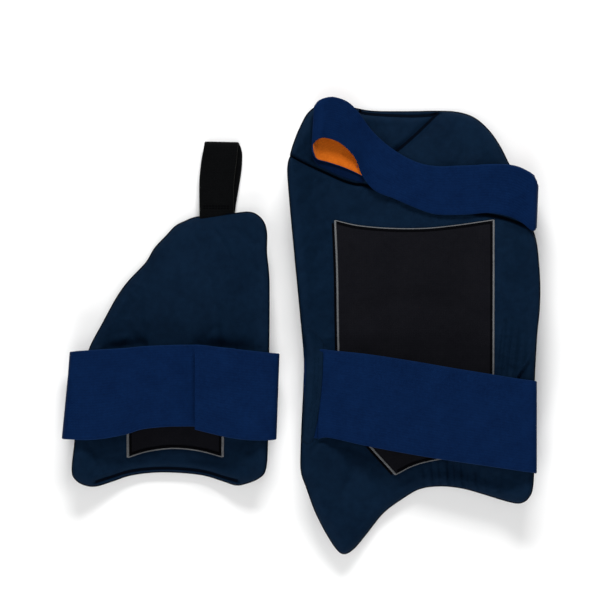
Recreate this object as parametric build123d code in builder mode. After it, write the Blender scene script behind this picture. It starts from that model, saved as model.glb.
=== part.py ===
"""Cricket thigh-guard set: an outer thigh guard and an inner thigh guard, lying
side by side with the leg side up.

Frame: millimetres, +Z up, the surface they lie on is Z = 0. +Y points to the hip
end and +X runs from the inner guard to the outer guard. The origin is the middle
of the set's bounding box, on the surface.

Each guard is a stack of plies bent to a trough: flat in the middle, curving up
to both sides. A ply is its plan, extruded, and cut by a band of the trough line.
"""
from collections import namedtuple
from math import radians, sqrt, tan
import os

from build123d import *

os.makedirs("parts", exist_ok=True)

# ---------------------------------------------------------------- driving sizes
outer_width = 238.0            # outer guard, across the leg
outer_length = 435.0           # outer guard, along the leg, hip flap included
outer_centre = 107.0           # X of the outer guard's middle
outer_flat = 24.0              # half width of the flat middle that it lies on
outer_bend = 140.0             # radius of the curved sides

inner_width = 186.0
inner_length = 260.0
inner_centre = -124.0
inner_middle = -22.0           # Y of the inner guard's middle
inner_flat = 20.0
inner_bend = 120.0

cover_ply = 1.6                # knitted cover with its scrim
lining_ply = 1.2               # brushed lining panel
outer_impact_foam = 8.0
outer_comfort_foam = 4.2
inner_impact_foam = 6.4
inner_comfort_foam = 3.8
ply_gap = 0.2                  # air between two plies of one guard
edge_wall = 2.0                # side gusset that closes the edge
flex_slot = 4.0                # gap between two impact bolsters
crease_gap = 1.2               # gap at the hip flap's flex line

seam_width = 3.2               # flat seam round a lining panel
seam_rise = 0.8
thread = 1.4                   # width and height of a row of raised stitching

elastic_ply = 2.2              # woven elastic, all straps
elastic_lining = 0.6
thigh_strap_width = 86.0
thigh_strap_slant = 8.6        # degrees that the outer thigh strap runs down to the right
inner_strap_width = 84.0
waist_strap_width = 50.0
patch_ply = 1.0                # hook patch or landing patch
part_gap = 0.4                 # air between pieces that move past each other
edge_gap = 0.6                 # air between a guard's side and a strap round it
wrap_bulge = 9.0               # how far the inner strap stands off the guard's sides
tab_clear = 5.6                # a tab ends where the guard is this far off the surface
sewn_gap = 0.05                # between a sewn piece and the ply that it is sewn to
crease_clear = 3.0             # from the flex line to the waist strap's end

webbing_width = 32.0
webbing_ply = 1.6
webbing_reach = 70.0           # loop, from the guard's edge to its fold
webbing_slot = 5.6             # room between the loop's two layers
roll_height = 15.0             # waist strap's turned-back roll

past_edge = 4.0                # the trough line runs on this far past a guard's side
Trough = namedtuple("Trough", "centre flat bend reach length")
outer_trough = Trough(outer_centre, outer_flat, outer_bend,
                      outer_width / 2 - outer_flat + past_edge, outer_length)
inner_trough = Trough(inner_centre, inner_flat, inner_bend,
                      inner_width / 2 - inner_flat + past_edge, inner_length)

# heights of the plies above the resting face, at the middle of each trough
impact_low = cover_ply + ply_gap
outer_impact_top = impact_low + outer_impact_foam
outer_comfort_low = outer_impact_top + ply_gap
outer_comfort_top = outer_comfort_low + outer_comfort_foam
outer_cover_low = outer_comfort_top + ply_gap
outer_top = outer_cover_low + cover_ply
inner_impact_top = impact_low + inner_impact_foam
inner_comfort_low = inner_impact_top + ply_gap
inner_comfort_top = inner_comfort_low + inner_comfort_foam
inner_cover_low = inner_comfort_top + ply_gap
inner_top = inner_cover_low + cover_ply
tall = 120.0                   # taller than anything in the set
deep = -20.0                   # below anything in the set


# ---------------------------------------------------------------- shared shapes
def outer_at(across, along):
    """Point on the outer guard's plan: -1 to 1 across it and along it."""
    return (outer_centre + across * outer_width / 2, along * outer_length / 2)


def inner_at(across, along):
    """Point on the inner guard's plan: -1 to 1 across it and along it."""
    return (inner_centre + across * inner_width / 2, inner_middle + along * inner_length / 2)


def rise(trough, x):
    """How far the trough line has curved up at x."""
    side = max(abs(x - trough.centre) - trough.flat, 0.0)
    return trough.bend - sqrt(trough.bend**2 - side**2)


def trough_band(trough, low, high):
    """Cross-section between two heights of the trough line."""
    edges = (-trough.flat - trough.reach, -trough.flat - trough.reach / 2, -trough.flat)
    outlines = []
    for height in (low, high):
        left = [(trough.centre + x, height + rise(trough, trough.centre + x)) for x in edges]
        right = [(2 * trough.centre - x, z) for x, z in left]
        outlines.append((left, right))
    with BuildSketch(Plane.XZ) as section:
        with BuildLine():
            for left, right in outlines:
                ThreePointArc(*left)
                Line(left[-1], right[-1])
                ThreePointArc(*right)
            Line(outlines[0][0][0], outlines[1][0][0])
            Line(outlines[0][1][0], outlines[1][1][0])
        make_face()
    return section.sketch


def strap_section(points, width):
    """Cross-section of a strap that follows these points, width thick."""
    with BuildSketch(Plane.XZ) as section:
        with BuildLine():
            Polyline(*points)
        trace(line_width=width)
    return section.sketch


def polygon_plan(points):
    """Plan with straight sides."""
    with BuildSketch() as plan:
        with BuildLine():
            Polyline(*points, close=True)
        make_face()
    return plan.sketch


def inset(plan, amount):
    """The same plan, smaller all round."""
    with BuildSketch() as smaller:
        add(plan)
        offset(amount=-amount, kind=Kind.ARC, mode=Mode.REPLACE)
    return smaller.sketch


def column(plan):
    """Fill the plan from below everything to above everything."""
    with BuildSketch(Plane.XY.offset(deep)) as base:
        add(plan)
    extrude(base.sketch, amount=tall - deep)


def keep_section(section, trough):
    """Keep what lies inside a cross-section."""
    extrude(section, amount=trough.length, both=True, mode=Mode.INTERSECT)


def save(builder, name):
    """Label one finished piece and write it."""
    builder.part.label = name
    export_step(builder.part, f"parts/{name}.step")


def save_ply(name, plan, trough, low, high):
    """Make and write one ply: a plan cut to a band of the trough."""
    with BuildPart() as ply:
        column(plan)
        keep_section(trough_band(trough, low, high), trough)
    save(ply, name)


# ---------------------------------------------------------------- plans: outer guard
crease_left = outer_at(-0.979, 0.735)
crease_bend = outer_at(-0.395, 0.622)
crease_right = outer_at(0.941, 0.428)


def shifted(point, dy):
    """The same point, moved along Y."""
    return (point[0], point[1] + dy)


with BuildSketch() as outer_plan:
    with BuildLine():
        main_left = shifted(crease_left, -crease_gap / 2)
        main_right = shifted(crease_right, -crease_gap / 2)
        ThreePointArc(main_left, outer_at(-1.0, 0.694), outer_at(-0.996, 0.650))
        ThreePointArc(outer_at(-0.996, 0.650), outer_at(-0.937, 0.299), outer_at(-0.882, -0.046))
        ThreePointArc(outer_at(-0.882, -0.046), outer_at(-0.867, -0.276), outer_at(-0.895, -0.630))
        ThreePointArc(outer_at(-0.895, -0.630), outer_at(-0.790, -0.809), outer_at(-0.613, -0.970))
        ThreePointArc(outer_at(-0.613, -0.970), outer_at(-0.540, -1.0), outer_at(-0.454, -0.980))
        ThreePointArc(outer_at(-0.454, -0.980), outer_at(-0.303, -0.892), outer_at(-0.185, -0.795))
        ThreePointArc(outer_at(-0.185, -0.795), outer_at(0.143, -0.703), outer_at(0.496, -0.720))
        ThreePointArc(outer_at(0.496, -0.720), outer_at(0.655, -0.749), outer_at(0.807, -0.772))
        ThreePointArc(outer_at(0.807, -0.772), outer_at(0.916, -0.754), outer_at(0.954, -0.690))
        Line(outer_at(0.954, -0.690), outer_at(0.958, -0.207))
        ThreePointArc(outer_at(0.958, -0.207), outer_at(0.993, 0.115), main_right)
        Line(main_right, shifted(crease_bend, -crease_gap / 2))
        Line(shifted(crease_bend, -crease_gap / 2), main_left)
    make_face()

with BuildSketch() as hip_plan:
    with BuildLine():
        hip_left = shifted(crease_left, crease_gap / 2)
        hip_right = shifted(crease_right, crease_gap / 2)
        ThreePointArc(hip_left, outer_at(-0.916, 0.860), outer_at(-0.815, 0.947))
        ThreePointArc(outer_at(-0.815, 0.947), outer_at(-0.731, 0.975), outer_at(-0.597, 0.972))
        ThreePointArc(outer_at(-0.597, 0.972), outer_at(-0.490, 0.958), outer_at(-0.378, 0.947))
        Line(outer_at(-0.378, 0.947), outer_at(0.328, 0.938))
        ThreePointArc(outer_at(0.328, 0.938), outer_at(0.613, 0.878), outer_at(0.807, 0.699))
        Line(outer_at(0.807, 0.699), hip_right)
        Line(hip_right, shifted(crease_bend, crease_gap / 2))
        Line(shifted(crease_bend, crease_gap / 2), hip_left)
    make_face()

with BuildSketch() as outer_window:
    with BuildLine():
        ThreePointArc(outer_at(-0.639, 0.460), outer_at(0.0, 0.430), outer_at(0.647, 0.462))
        Line(outer_at(0.647, 0.462), outer_at(0.639, -0.572))
        ThreePointArc(outer_at(0.639, -0.572), outer_at(0.252, -0.590), outer_at(-0.151, -0.655))
        Line(outer_at(-0.151, -0.655), outer_at(-0.613, -0.380))
        Line(outer_at(-0.613, -0.380), outer_at(-0.639, 0.460))
    make_face()

corner_top = outer_at(0.205, 0.920)
corner_low = outer_at(-0.118, 0.770)
corner_plan = polygon_plan([corner_top, corner_low, outer_at(-0.345, 0.850), outer_at(-0.395, 0.930)])

# ---------------------------------------------------------------- plans: inner guard
with BuildSketch() as inner_plan:
    with BuildLine():
        ThreePointArc(inner_at(0.269, 0.965), inner_at(0.108, 0.923), inner_at(-0.043, 0.831))
        Line(inner_at(-0.043, 0.831), inner_at(-0.430, 0.508))
        ThreePointArc(inner_at(-0.430, 0.508), inner_at(-0.667, 0.231), inner_at(-0.860, -0.046))
        ThreePointArc(inner_at(-0.860, -0.046), inner_at(-0.946, -0.308), inner_at(-0.978, -0.638))
        Line(inner_at(-0.978, -0.638), inner_at(-1.0, -0.885))
        ThreePointArc(inner_at(-1.0, -0.885), inner_at(-0.935, -0.969), inner_at(-0.763, -1.0))
        ThreePointArc(inner_at(-0.763, -1.0), inner_at(-0.022, -0.904), inner_at(0.688, -0.996))
        ThreePointArc(inner_at(0.688, -0.996), inner_at(0.882, -0.954), inner_at(0.957, -0.862))
        ThreePointArc(inner_at(0.957, -0.862), inner_at(0.995, -0.292), inner_at(1.0, 0.400))
        ThreePointArc(inner_at(1.0, 0.400), inner_at(0.984, 0.669), inner_at(0.978, 0.846))
        ThreePointArc(inner_at(0.978, 0.846), inner_at(0.925, 0.954), inner_at(0.796, 1.0))
        Line(inner_at(0.796, 1.0), inner_at(0.269, 0.965))
    make_face()

with BuildSketch() as inner_window:
    with BuildLine():
        Line(inner_at(-0.450, -0.140), inner_at(0.540, -0.140))
        Line(inner_at(0.540, -0.140), inner_at(0.540, -0.808))
        ThreePointArc(inner_at(0.540, -0.808), inner_at(0.043, -0.731), inner_at(-0.450, -0.815))
        Line(inner_at(-0.450, -0.815), inner_at(-0.450, -0.140))
    make_face()


# ---------------------------------------------------------------- plies of both guards
def save_guard(name, plan, window, trough, comfort, cover):
    """Shell cover, gusset, comfort foam, leg cover, lining panel and its seam.

    comfort is the comfort foam's (low, top); cover is the leg cover's (low, top).
    """
    core = inset(plan, edge_wall + ply_gap)
    save_ply(f"{name}_shell_cover", plan, trough, 0.0, cover_ply)
    save_ply(f"{name}_comfort_foam", core, trough, *comfort)
    with BuildPart() as gusset:
        column(plan)
        with BuildSketch(Plane.XY.offset(deep)):
            add(inset(plan, edge_wall))
        extrude(amount=tall - deep, mode=Mode.SUBTRACT)
        keep_section(trough_band(trough, impact_low, comfort[1]), trough)
    save(gusset, f"{name}_edge_gusset")
    with BuildPart() as leg_cover:
        column(plan)
        with BuildSketch(Plane.XY.offset(deep)):
            add(window)
        extrude(amount=tall - deep, mode=Mode.SUBTRACT)
        keep_section(trough_band(trough, *cover), trough)
    save(leg_cover, f"{name}_leg_cover")
    save_ply(f"{name}_lining_panel", inset(window, ply_gap), trough,
             cover[0], cover[0] + lining_ply)
    with BuildPart() as seam:
        column(window)
        with BuildSketch(Plane.XY.offset(deep)):
            add(inset(window, seam_width))
        extrude(amount=tall - deep, mode=Mode.SUBTRACT)
        keep_section(trough_band(trough, cover[1] + sewn_gap, cover[1] + seam_rise), trough)
    save(seam, f"{name}_lining_seam")


def save_bolsters(name, plan, trough, top, slots, sides):
    """Impact foam, parted by flex slots that run along the leg."""
    core = inset(plan, edge_wall + ply_gap)
    bounds = [trough.centre - trough.flat - trough.reach, *slots,
              trough.centre + trough.flat + trough.reach]
    for side, low, high in zip(sides, bounds, bounds[1:]):
        with BuildPart() as bolster:
            column(core)
            with BuildSketch(Plane.XY.offset(deep)):
                with Locations(((low + high) / 2, 0)):
                    Rectangle(high - low - flex_slot, 3 * trough.length)
            extrude(amount=tall - deep, mode=Mode.INTERSECT)
            keep_section(trough_band(trough, impact_low, top), trough)
        save(bolster, f"{name}_impact_bolster_{side}")


save_guard("outer", outer_plan.sketch, outer_window.sketch, outer_trough,
           (outer_comfort_low, outer_comfort_top), (outer_cover_low, outer_top))
save_bolsters("outer", outer_plan.sketch, outer_trough, outer_impact_top,
              [outer_at(-0.36, 0)[0], outer_at(0.36, 0)[0]], ["left", "middle", "right"])
save_guard("inner", inner_plan.sketch, inner_window.sketch, inner_trough,
           (inner_comfort_low, inner_comfort_top), (inner_cover_low, inner_top))
save_bolsters("inner", inner_plan.sketch, inner_trough, inner_impact_top,
              [inner_at(-0.36, 0)[0], inner_at(0.36, 0)[0]], ["left", "middle", "right"])

# ---------------------------------------------------------------- hip flap
hip_core = inset(hip_plan.sketch, edge_wall + ply_gap)
save_ply("hip_shell_cover", hip_plan.sketch, outer_trough, 0.0, cover_ply)
save_ply("hip_foam", hip_core, outer_trough, impact_low, outer_comfort_top)
with BuildPart() as hip_gusset:
    column(hip_plan.sketch)
    with BuildSketch(Plane.XY.offset(deep)):
        add(inset(hip_plan.sketch, edge_wall))
    extrude(amount=tall - deep, mode=Mode.SUBTRACT)
    keep_section(trough_band(outer_trough, impact_low, outer_comfort_top), outer_trough)
save(hip_gusset, "hip_edge_gusset")
with BuildPart() as hip_leg_cover:
    column(hip_plan.sketch)
    with BuildSketch(Plane.XY.offset(deep)):
        add(corner_plan)
    extrude(amount=tall - deep, mode=Mode.SUBTRACT)
    keep_section(trough_band(outer_trough, outer_cover_low, outer_top), outer_trough)
save(hip_leg_cover, "hip_leg_cover")
save_ply("hip_corner_panel", inset(corner_plan, ply_gap), outer_trough,
         outer_cover_low, outer_top)
with BuildPart() as hip_seams:
    with BuildSketch(Plane.XY.offset(deep)):
        with BuildLine():
            Polyline(outer_at(-0.395, 0.930), corner_top, corner_low)
        trace(line_width=thread)
    extrude(amount=tall - deep)
    keep_section(trough_band(outer_trough, outer_top + sewn_gap, outer_top + seam_rise), outer_trough)
save(hip_seams, "hip_seam_stitching")

# the tape that the flap turns on stands in the flex line, low in the gap
tape_ply = 0.5
tape_low, tape_high = 0.3, 2.6
with BuildPart() as flex_tape:
    with BuildSketch(Plane.XY.offset(deep)):
        with BuildLine():
            Polyline(crease_left, crease_bend, crease_right)
        trace(line_width=tape_ply)
    extrude(amount=tall - deep)
    keep_section(trough_band(outer_trough, tape_low, tape_high), outer_trough)
save(flex_tape, "hip_flex_tape")

# ---------------------------------------------------------------- outer thigh strap
slant = tan(radians(thigh_strap_slant))
thigh_strap_middle = -0.359 * outer_length / 2
fold_x = outer_at(-0.748, 0)[0]
side_x = outer_at(0.977, 0)[0]
thigh_y = thigh_strap_middle - slant * (side_x - outer_centre)


def thigh_edges(x):
    """The strap's lower and upper edge at x."""
    middle = thigh_strap_middle - slant * (x - outer_centre)
    return middle - thigh_strap_width / 2, middle + thigh_strap_width / 2


def thigh_plan(x_low, x_high, skew_low=0.0, skew_high=0.0):
    """The strap's plan from one x to another; each skew slants that end."""
    low_left, high_left = thigh_edges(x_low)
    low_right, high_right = thigh_edges(x_high)
    return polygon_plan([(x_low - skew_low, low_left), (x_high - skew_high, low_right),
                         (x_high + skew_high, high_right), (x_low + skew_low, high_left)])


fold_skew = 3.8
strap_left_mid = outer_top + rise(outer_trough, fold_x - fold_skew) + part_gap + elastic_ply / 2
strap_right_mid = outer_top + rise(outer_trough, side_x) + part_gap + elastic_ply / 2
with BuildPart() as thigh_strap:
    column(thigh_plan(fold_x + part_gap, side_x, skew_low=fold_skew))
    keep_section(strap_section([(fold_x - fold_skew, strap_left_mid), (side_x, strap_right_mid)],
                               elastic_ply), outer_trough)
save(thigh_strap, "thigh_strap")

root_x = outer_at(-0.860, 0)[0]
root_low = outer_top + sewn_gap
save_ply("thigh_strap_root", thigh_plan(root_x, fold_x - part_gap, skew_high=fold_skew),
         outer_trough, root_low, root_low + elastic_ply)

# the facing covers the strap's root and is sewn through it in two rows
facing_past = 5.5              # it runs this far past the strap's edges
facing_short = 2.0             # and stops this far before the fold
facing_base = root_low + elastic_ply + sewn_gap
facing_low, facing_high = thigh_edges(fold_x)
low_fold, high_fold = fold_x - fold_skew, fold_x + fold_skew
facing_plan = polygon_plan([(outer_at(-1.0, 0)[0], facing_low - facing_past),
                            (low_fold - facing_short, facing_low - facing_past),
                            (high_fold - facing_short, facing_high + facing_past),
                            (outer_at(-1.0, 0)[0], facing_high + facing_past)])
save_ply("thigh_strap_facing", facing_plan & inset(outer_plan.sketch, 1.0), outer_trough,
         facing_base, facing_base + cover_ply)
stitch_rows = (5.0, 8.5)       # from the fold
stitch_low = facing_base + cover_ply + sewn_gap
with BuildPart() as thigh_stitching:
    with BuildSketch(Plane.XY.offset(deep)):
        for step in stitch_rows:
            with BuildLine():
                Line((low_fold - step, facing_low), (high_fold - step, facing_high))
            trace(line_width=thread)
    extrude(amount=tall - deep)
    keep_section(trough_band(outer_trough, stitch_low, stitch_low + seam_rise), outer_trough)
save(thigh_stitching, "thigh_strap_stitching")


# ---------------------------------------------------------------- tabs that grip the outer face
under_face = -0.1              # sewn to the outer face, just below it
landing = (under_face - patch_ply, under_face)
hook = (landing[0] - part_gap - patch_ply, landing[0] - part_gap)
tab = (hook[0] - sewn_gap - elastic_ply, hook[0] - sewn_gap)
tab_end = outer_centre + outer_flat + sqrt(2 * outer_bend * tab_clear - tab_clear**2)


patch_margin = 5.0             # from the guard's side to the landing patch
hook_margin = 3.0              # from the tab's edges to its hook patch
landing_margin = 1.0


def save_tab(name, plan_at, tab_x, top, under):
    """A strap's end: down past the guard's side and back along its outer face.

    plan_at gives the plan between two x, tab_x is the near side of the upright
    run, top is the height of the strap that it carries on from, and under is the
    plan of the piece that it grips.
    """
    far_x = tab_x + elastic_ply
    with BuildSketch(Plane.XZ) as upright:
        foot = tab[0] + rise(outer_trough, tab_x)
        with Locations(((tab_x + far_x) / 2, (foot + top) / 2)):
            Rectangle(elastic_ply, top - foot)
    with BuildPart() as strap_tab:
        column(plan_at(tab_end, far_x))
        extrude(trough_band(outer_trough, *tab) + upright.sketch, amount=outer_length,
                both=True, mode=Mode.INTERSECT)
    save(strap_tab, f"{name}_tab")
    save_ply(f"{name}_hook_patch", inset(plan_at(tab_end, tab_x), hook_margin)
             & inset(under, hook_margin + patch_margin), outer_trough, *hook)
    save_ply(f"{name}_landing_patch", inset(plan_at(tab_end, tab_x), landing_margin)
             & inset(under, patch_margin), outer_trough, *landing)


def thigh_tab_plan(x_low, x_high):
    """The tab runs on down as it comes back under the guard."""
    def edges(x):
        middle = thigh_y - slant * (side_x - x)
        return middle - thigh_strap_width / 2, middle + thigh_strap_width / 2
    low_left, high_left = edges(x_low)
    low_right, high_right = edges(x_high)
    return polygon_plan([(x_low, low_left), (x_high, low_right), (x_high, high_right),
                         (x_low, high_left)])


save_tab("thigh_strap", thigh_tab_plan, side_x + edge_gap, strap_right_mid + elastic_ply / 2,
         outer_plan.sketch)

# ---------------------------------------------------------------- waist strap
waist_low = outer_top + 2.0                     # it lies this high above the hip flap
waist_high = waist_low + elastic_ply
waist_side = crease_right[0] + 3.0
waist_foot = crease_right[1] + crease_clear
crease_slope = (crease_right[1] - crease_bend[1]) / (crease_right[0] - crease_bend[0])

with BuildSketch() as waist_plan:
    with BuildLine():
        upper_right = (waist_side, waist_foot + waist_strap_width)
        lower_right = (waist_side, waist_foot)
        ThreePointArc(outer_at(-0.790, 0.980), outer_at(-0.645, 1.0), outer_at(-0.480, 0.965))
        ThreePointArc(outer_at(-0.480, 0.965), outer_at(-0.252, 0.813), outer_at(0.202, 0.700))
        Line(outer_at(0.202, 0.700), upper_right)
        Line(upper_right, lower_right)
        ThreePointArc(lower_right, outer_at(0.600, 0.490), outer_at(0.202, 0.485))
        ThreePointArc(outer_at(0.202, 0.485), outer_at(-0.151, 0.552), outer_at(-0.408, 0.640))
        ThreePointArc(outer_at(-0.408, 0.640), outer_at(-0.510, 0.745), outer_at(-0.810, 0.775))
        Line(outer_at(-0.810, 0.775), outer_at(-0.790, 0.980))
    make_face()

roll_x = outer_at(-0.815, 0)[0]                 # the roll's left side
roll_radius = roll_height / 2
root_end = outer_at(-0.300, 0)[0]
layer_low = outer_top + 1.6                     # the sewn layer lies this high
layer_high = layer_low + elastic_ply
roll_low = (layer_low + layer_high) / 2 + rise(outer_trough, roll_x + roll_radius)
roll_top = roll_low + roll_height
join_x = outer_at(-0.20, 0)[0]
waist_mid = (waist_low + waist_high) / 2

with BuildSketch(Plane.XZ) as waist_front_section:
    with BuildLine():
        front = RadiusArc((roll_x, (roll_low + roll_top) / 2), (roll_x + roll_radius, roll_top),
                          roll_radius)
        Line(front @ 1, (join_x, waist_mid + rise(outer_trough, join_x)))
    trace(line_width=elastic_ply)
with BuildSketch(Plane.XZ) as past_join:
    with Locations((join_x + outer_width, 0)):
        Rectangle(2 * outer_width, 3 * tall)
with BuildPart() as waist_strap:
    column(waist_plan.sketch)
    hugging = trough_band(outer_trough, waist_low, waist_high) & past_join.sketch
    keep_section(hugging + waist_front_section.sketch, outer_trough)
save(waist_strap, "waist_strap")

root_plan = polygon_plan([outer_at(-0.820, 0.735), outer_at(-0.428, 0.660),
                          (root_end, outer_at(0, 0.690)[1]), (root_end, outer_at(0, 0.900)[1]),
                          outer_at(-0.790, 0.975)])
with BuildSketch(Plane.XZ) as turned_run:
    with Locations(((roll_x + roll_radius + root_end) / 2, 0)):
        Rectangle(root_end - roll_x - roll_radius, 3 * tall)
with BuildSketch(Plane.XZ) as waist_turn:
    with BuildLine():
        RadiusArc((roll_x + roll_radius, roll_low), (roll_x, (roll_low + roll_top) / 2 - 0.1),
                  roll_radius)
    trace(line_width=elastic_ply)
with BuildPart() as waist_root:
    column(root_plan)
    keep_section((trough_band(outer_trough, layer_low, layer_high) & turned_run.sketch)
                 + waist_turn.sketch, outer_trough)
    extrude(trough_band(outer_trough, impact_low, outer_top + part_gap), amount=outer_length,
            both=True, mode=Mode.SUBTRACT)
save(waist_root, "waist_strap_root")
with BuildPart() as waist_lining:
    column(inset(root_plan, 1.0))
    lining_low = layer_high + sewn_gap
    keep_section(trough_band(outer_trough, lining_low, lining_low + elastic_lining)
                 & turned_run.sketch, outer_trough)
save(waist_lining, "waist_strap_lining")
root_thread = lining_low + elastic_lining + sewn_gap
with BuildPart() as waist_stitching:
    with BuildSketch(Plane.XY.offset(deep)):
        for step in (5.0, 9.0):
            with Locations((root_end - step, outer_at(0, 0.795)[1])):
                Rectangle(thread, waist_strap_width - 10.0)
    extrude(amount=tall - deep)
    keep_section(trough_band(outer_trough, root_thread, root_thread + seam_rise), outer_trough)
save(waist_stitching, "waist_strap_stitching")


def waist_tab_plan(x_low, x_high):
    """The tab runs alongside the flex line as it comes back under the flap."""
    def low_edge(x):
        return waist_foot + crease_slope * (x - waist_side)
    return polygon_plan([(x_low, low_edge(x_low)), (x_high, low_edge(x_high)),
                         (x_high, low_edge(x_high) + waist_strap_width),
                         (x_low, low_edge(x_low) + waist_strap_width)])


save_tab("waist_strap", waist_tab_plan, waist_side + edge_gap,
         waist_high + rise(outer_trough, waist_side), hip_plan.sketch)

# ---------------------------------------------------------------- inner strap, in two halves
inner_left = inner_at(-1.0, 0)[0]
inner_right = inner_at(1.0, 0)[0]
inner_strap_low = inner_at(0, -0.665)[1]
inner_strap_high = inner_strap_low + inner_strap_width
overlap_left = inner_at(0.280, 0)[0]            # end of the right half
overlap_right = inner_at(0.670, 0)[0]           # end of the left half
rim_top = inner_top + rise(inner_trough, inner_right) + part_gap
mesh_rise = elastic_ply + 2 * patch_ply + part_gap + 2 * sewn_gap


def inner_strap_plan(x_low, x_high):
    """Plain rectangle between two x."""
    return polygon_plan([(x_low, inner_strap_low), (x_high, inner_strap_low),
                         (x_high, inner_strap_high), (x_low, inner_strap_high)])


def save_span(name, points, x_low, x_high):
    """A strap that follows these points, between two x."""
    with BuildPart() as span:
        column(inner_strap_plan(x_low, x_high))
        keep_section(strap_section(points, elastic_ply), inner_trough)
    save(span, name)


left_mid = rim_top + elastic_ply / 2
strap_sag = 2.4                                 # the left half lies this much lower inside
left_drop = left_mid - strap_sag
level_x = inner_at(-0.280, 0)[0]
left_path = [(inner_left - wrap_bulge, left_mid), (inner_left, left_mid), (level_x, left_drop),
             (overlap_right, left_drop)]
right_mid = left_drop + mesh_rise
right_path = [(inner_right + wrap_bulge, left_mid), (inner_right, left_mid),
              (overlap_right + 4.0, right_mid), (overlap_left, right_mid)]
save_span("inner_strap_left", left_path, inner_left + part_gap, overlap_right)
save_span("inner_strap_right", right_path, overlap_left, inner_right - part_gap)

patch_plan = inset(inner_strap_plan(overlap_left, overlap_right), hook_margin)
patch_offset = elastic_ply / 2 + sewn_gap + patch_ply / 2
for name, middle in (("inner_strap_loop_patch", left_drop + patch_offset),
                     ("inner_strap_hook_patch", right_mid - patch_offset)):
    with BuildPart() as patch:
        column(patch_plan)
        keep_section(strap_section([(overlap_left, middle), (overlap_right, middle)], patch_ply),
                     inner_trough)
    save(patch, name)


wrap_corner = 4.0


def save_wrap(name, side, sign):
    """The strap's sewn end: round the guard's side and along its outer face."""
    outside = side + sign * (wrap_bulge - elastic_ply / 2)
    sewn_end = inner_centre + sign * (inner_flat + sqrt(2 * inner_bend * tab_clear - tab_clear**2))
    face = (under_face - elastic_ply, under_face)
    face_side = face[0] + elastic_ply / 2 + rise(inner_trough, side) - part_gap
    with BuildSketch(Plane.XZ) as turn:
        with BuildLine():
            Polyline((side, left_mid), (outside - sign * wrap_corner, left_mid),
                     (outside, left_mid - wrap_corner), (outside, face_side + wrap_corner),
                     (outside - sign * wrap_corner, face_side + part_gap),
                     (side - sign * part_gap, face_side))
        trace(line_width=elastic_ply)
    with BuildSketch(Plane.XZ) as sewn_run:
        with Locations(((sewn_end + side) / 2, 0)):
            Rectangle(abs(side - sewn_end), 3 * tall)
    with BuildPart() as wrap:
        column(inner_strap_plan(*sorted((sewn_end, outside + sign * elastic_ply))))
        keep_section((trough_band(inner_trough, *face) & sewn_run.sketch) + turn.sketch, inner_trough)
    save(wrap, name)
    low, high = sorted((sewn_end + sign * 3.0, sewn_end + sign * 7.0))
    with BuildPart() as stitching:
        with BuildSketch(Plane.XY.offset(deep)):
            for x in (low, high):
                with Locations((x, (inner_strap_low + inner_strap_high) / 2)):
                    Rectangle(thread, inner_strap_width - 8.0)
        extrude(amount=tall - deep)
        keep_section(trough_band(inner_trough, face[0] - sewn_gap - seam_rise, face[0] - sewn_gap),
                     inner_trough)
    save(stitching, f"{name}_stitching")


save_wrap("inner_strap_left_end", inner_left, -1)
save_wrap("inner_strap_right_end", inner_right, 1)

# ---------------------------------------------------------------- webbing loop
loop_x = inner_at(0.452, 0)[0]
anchor_y = inner_at(0, 0.995)[1]
loop_y = anchor_y + part_gap + webbing_ply / 2
loop_low = 3.4
loop_radius = (webbing_slot + webbing_ply) / 2
loop_mid = loop_low + webbing_ply / 2 + loop_radius
with BuildPart() as webbing_loop:
    with BuildSketch(Plane.YZ.offset(loop_x - webbing_width / 2)):
        with BuildLine():
            top_run = Line((loop_y, loop_mid + loop_radius),
                           (loop_y + webbing_reach - loop_radius, loop_mid + loop_radius))
            RadiusArc(top_run @ 1, (loop_y + webbing_reach - loop_radius, loop_mid - loop_radius),
                      loop_radius)
            Line((loop_y + webbing_reach - loop_radius, loop_mid - loop_radius),
                 (loop_y, loop_mid - loop_radius))
            Line((loop_y, loop_mid - loop_radius), (loop_y, loop_mid + loop_radius))
        trace(line_width=webbing_ply)
    extrude(amount=webbing_width)
save(webbing_loop, "webbing_loop")

with BuildPart() as bar_tacks:
    with BuildSketch(Plane.XY.offset(loop_mid + loop_radius + webbing_ply / 2 + sewn_gap)):
        for step in (3.0, 7.0):
            with Locations((loop_x, loop_y + step)):
                Rectangle(webbing_width - 4.0, thread)
    extrude(amount=seam_rise)
save(bar_tacks, "webbing_loop_stitching")

left_edge = loop_x - webbing_width / 2
right_edge = loop_x + webbing_width / 2
edge_low, edge_high = inner_at(0.269, 0.965), inner_at(0.796, 1.0)
edge_slope = (edge_high[1] - edge_low[1]) / (edge_high[0] - edge_low[0])


def guard_edge(x):
    """Y just outside the inner guard's hip edge at x."""
    return edge_low[1] + edge_slope * (x - edge_low[0]) + sewn_gap


with BuildPart() as anchor:
    with BuildSketch(Plane.XY.offset(loop_low)):
        with BuildLine():
            Polyline((left_edge, guard_edge(left_edge)), (right_edge, guard_edge(right_edge)),
                     (right_edge, anchor_y), (left_edge, anchor_y), close=True)
        make_face()
    extrude(amount=webbing_slot + 2 * webbing_ply)
save(anchor, "webbing_loop_anchor")
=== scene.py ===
"""Looks of the cricket thigh-guard set: padded covers, linings, seams, elastics and webbing.

Everything is in metres, in the CAD frame: +Z up, +Y to the hip end, leg side up.
Plan points are given in per cent of a guard's own box, so they follow the frame.
"""

import math
import random

import bmesh
import bpy
import numpy as np
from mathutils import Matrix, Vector
from mathutils.bvhtree import BVHTree
from mathutils.geometry import delaunay_2d_cdt


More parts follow.
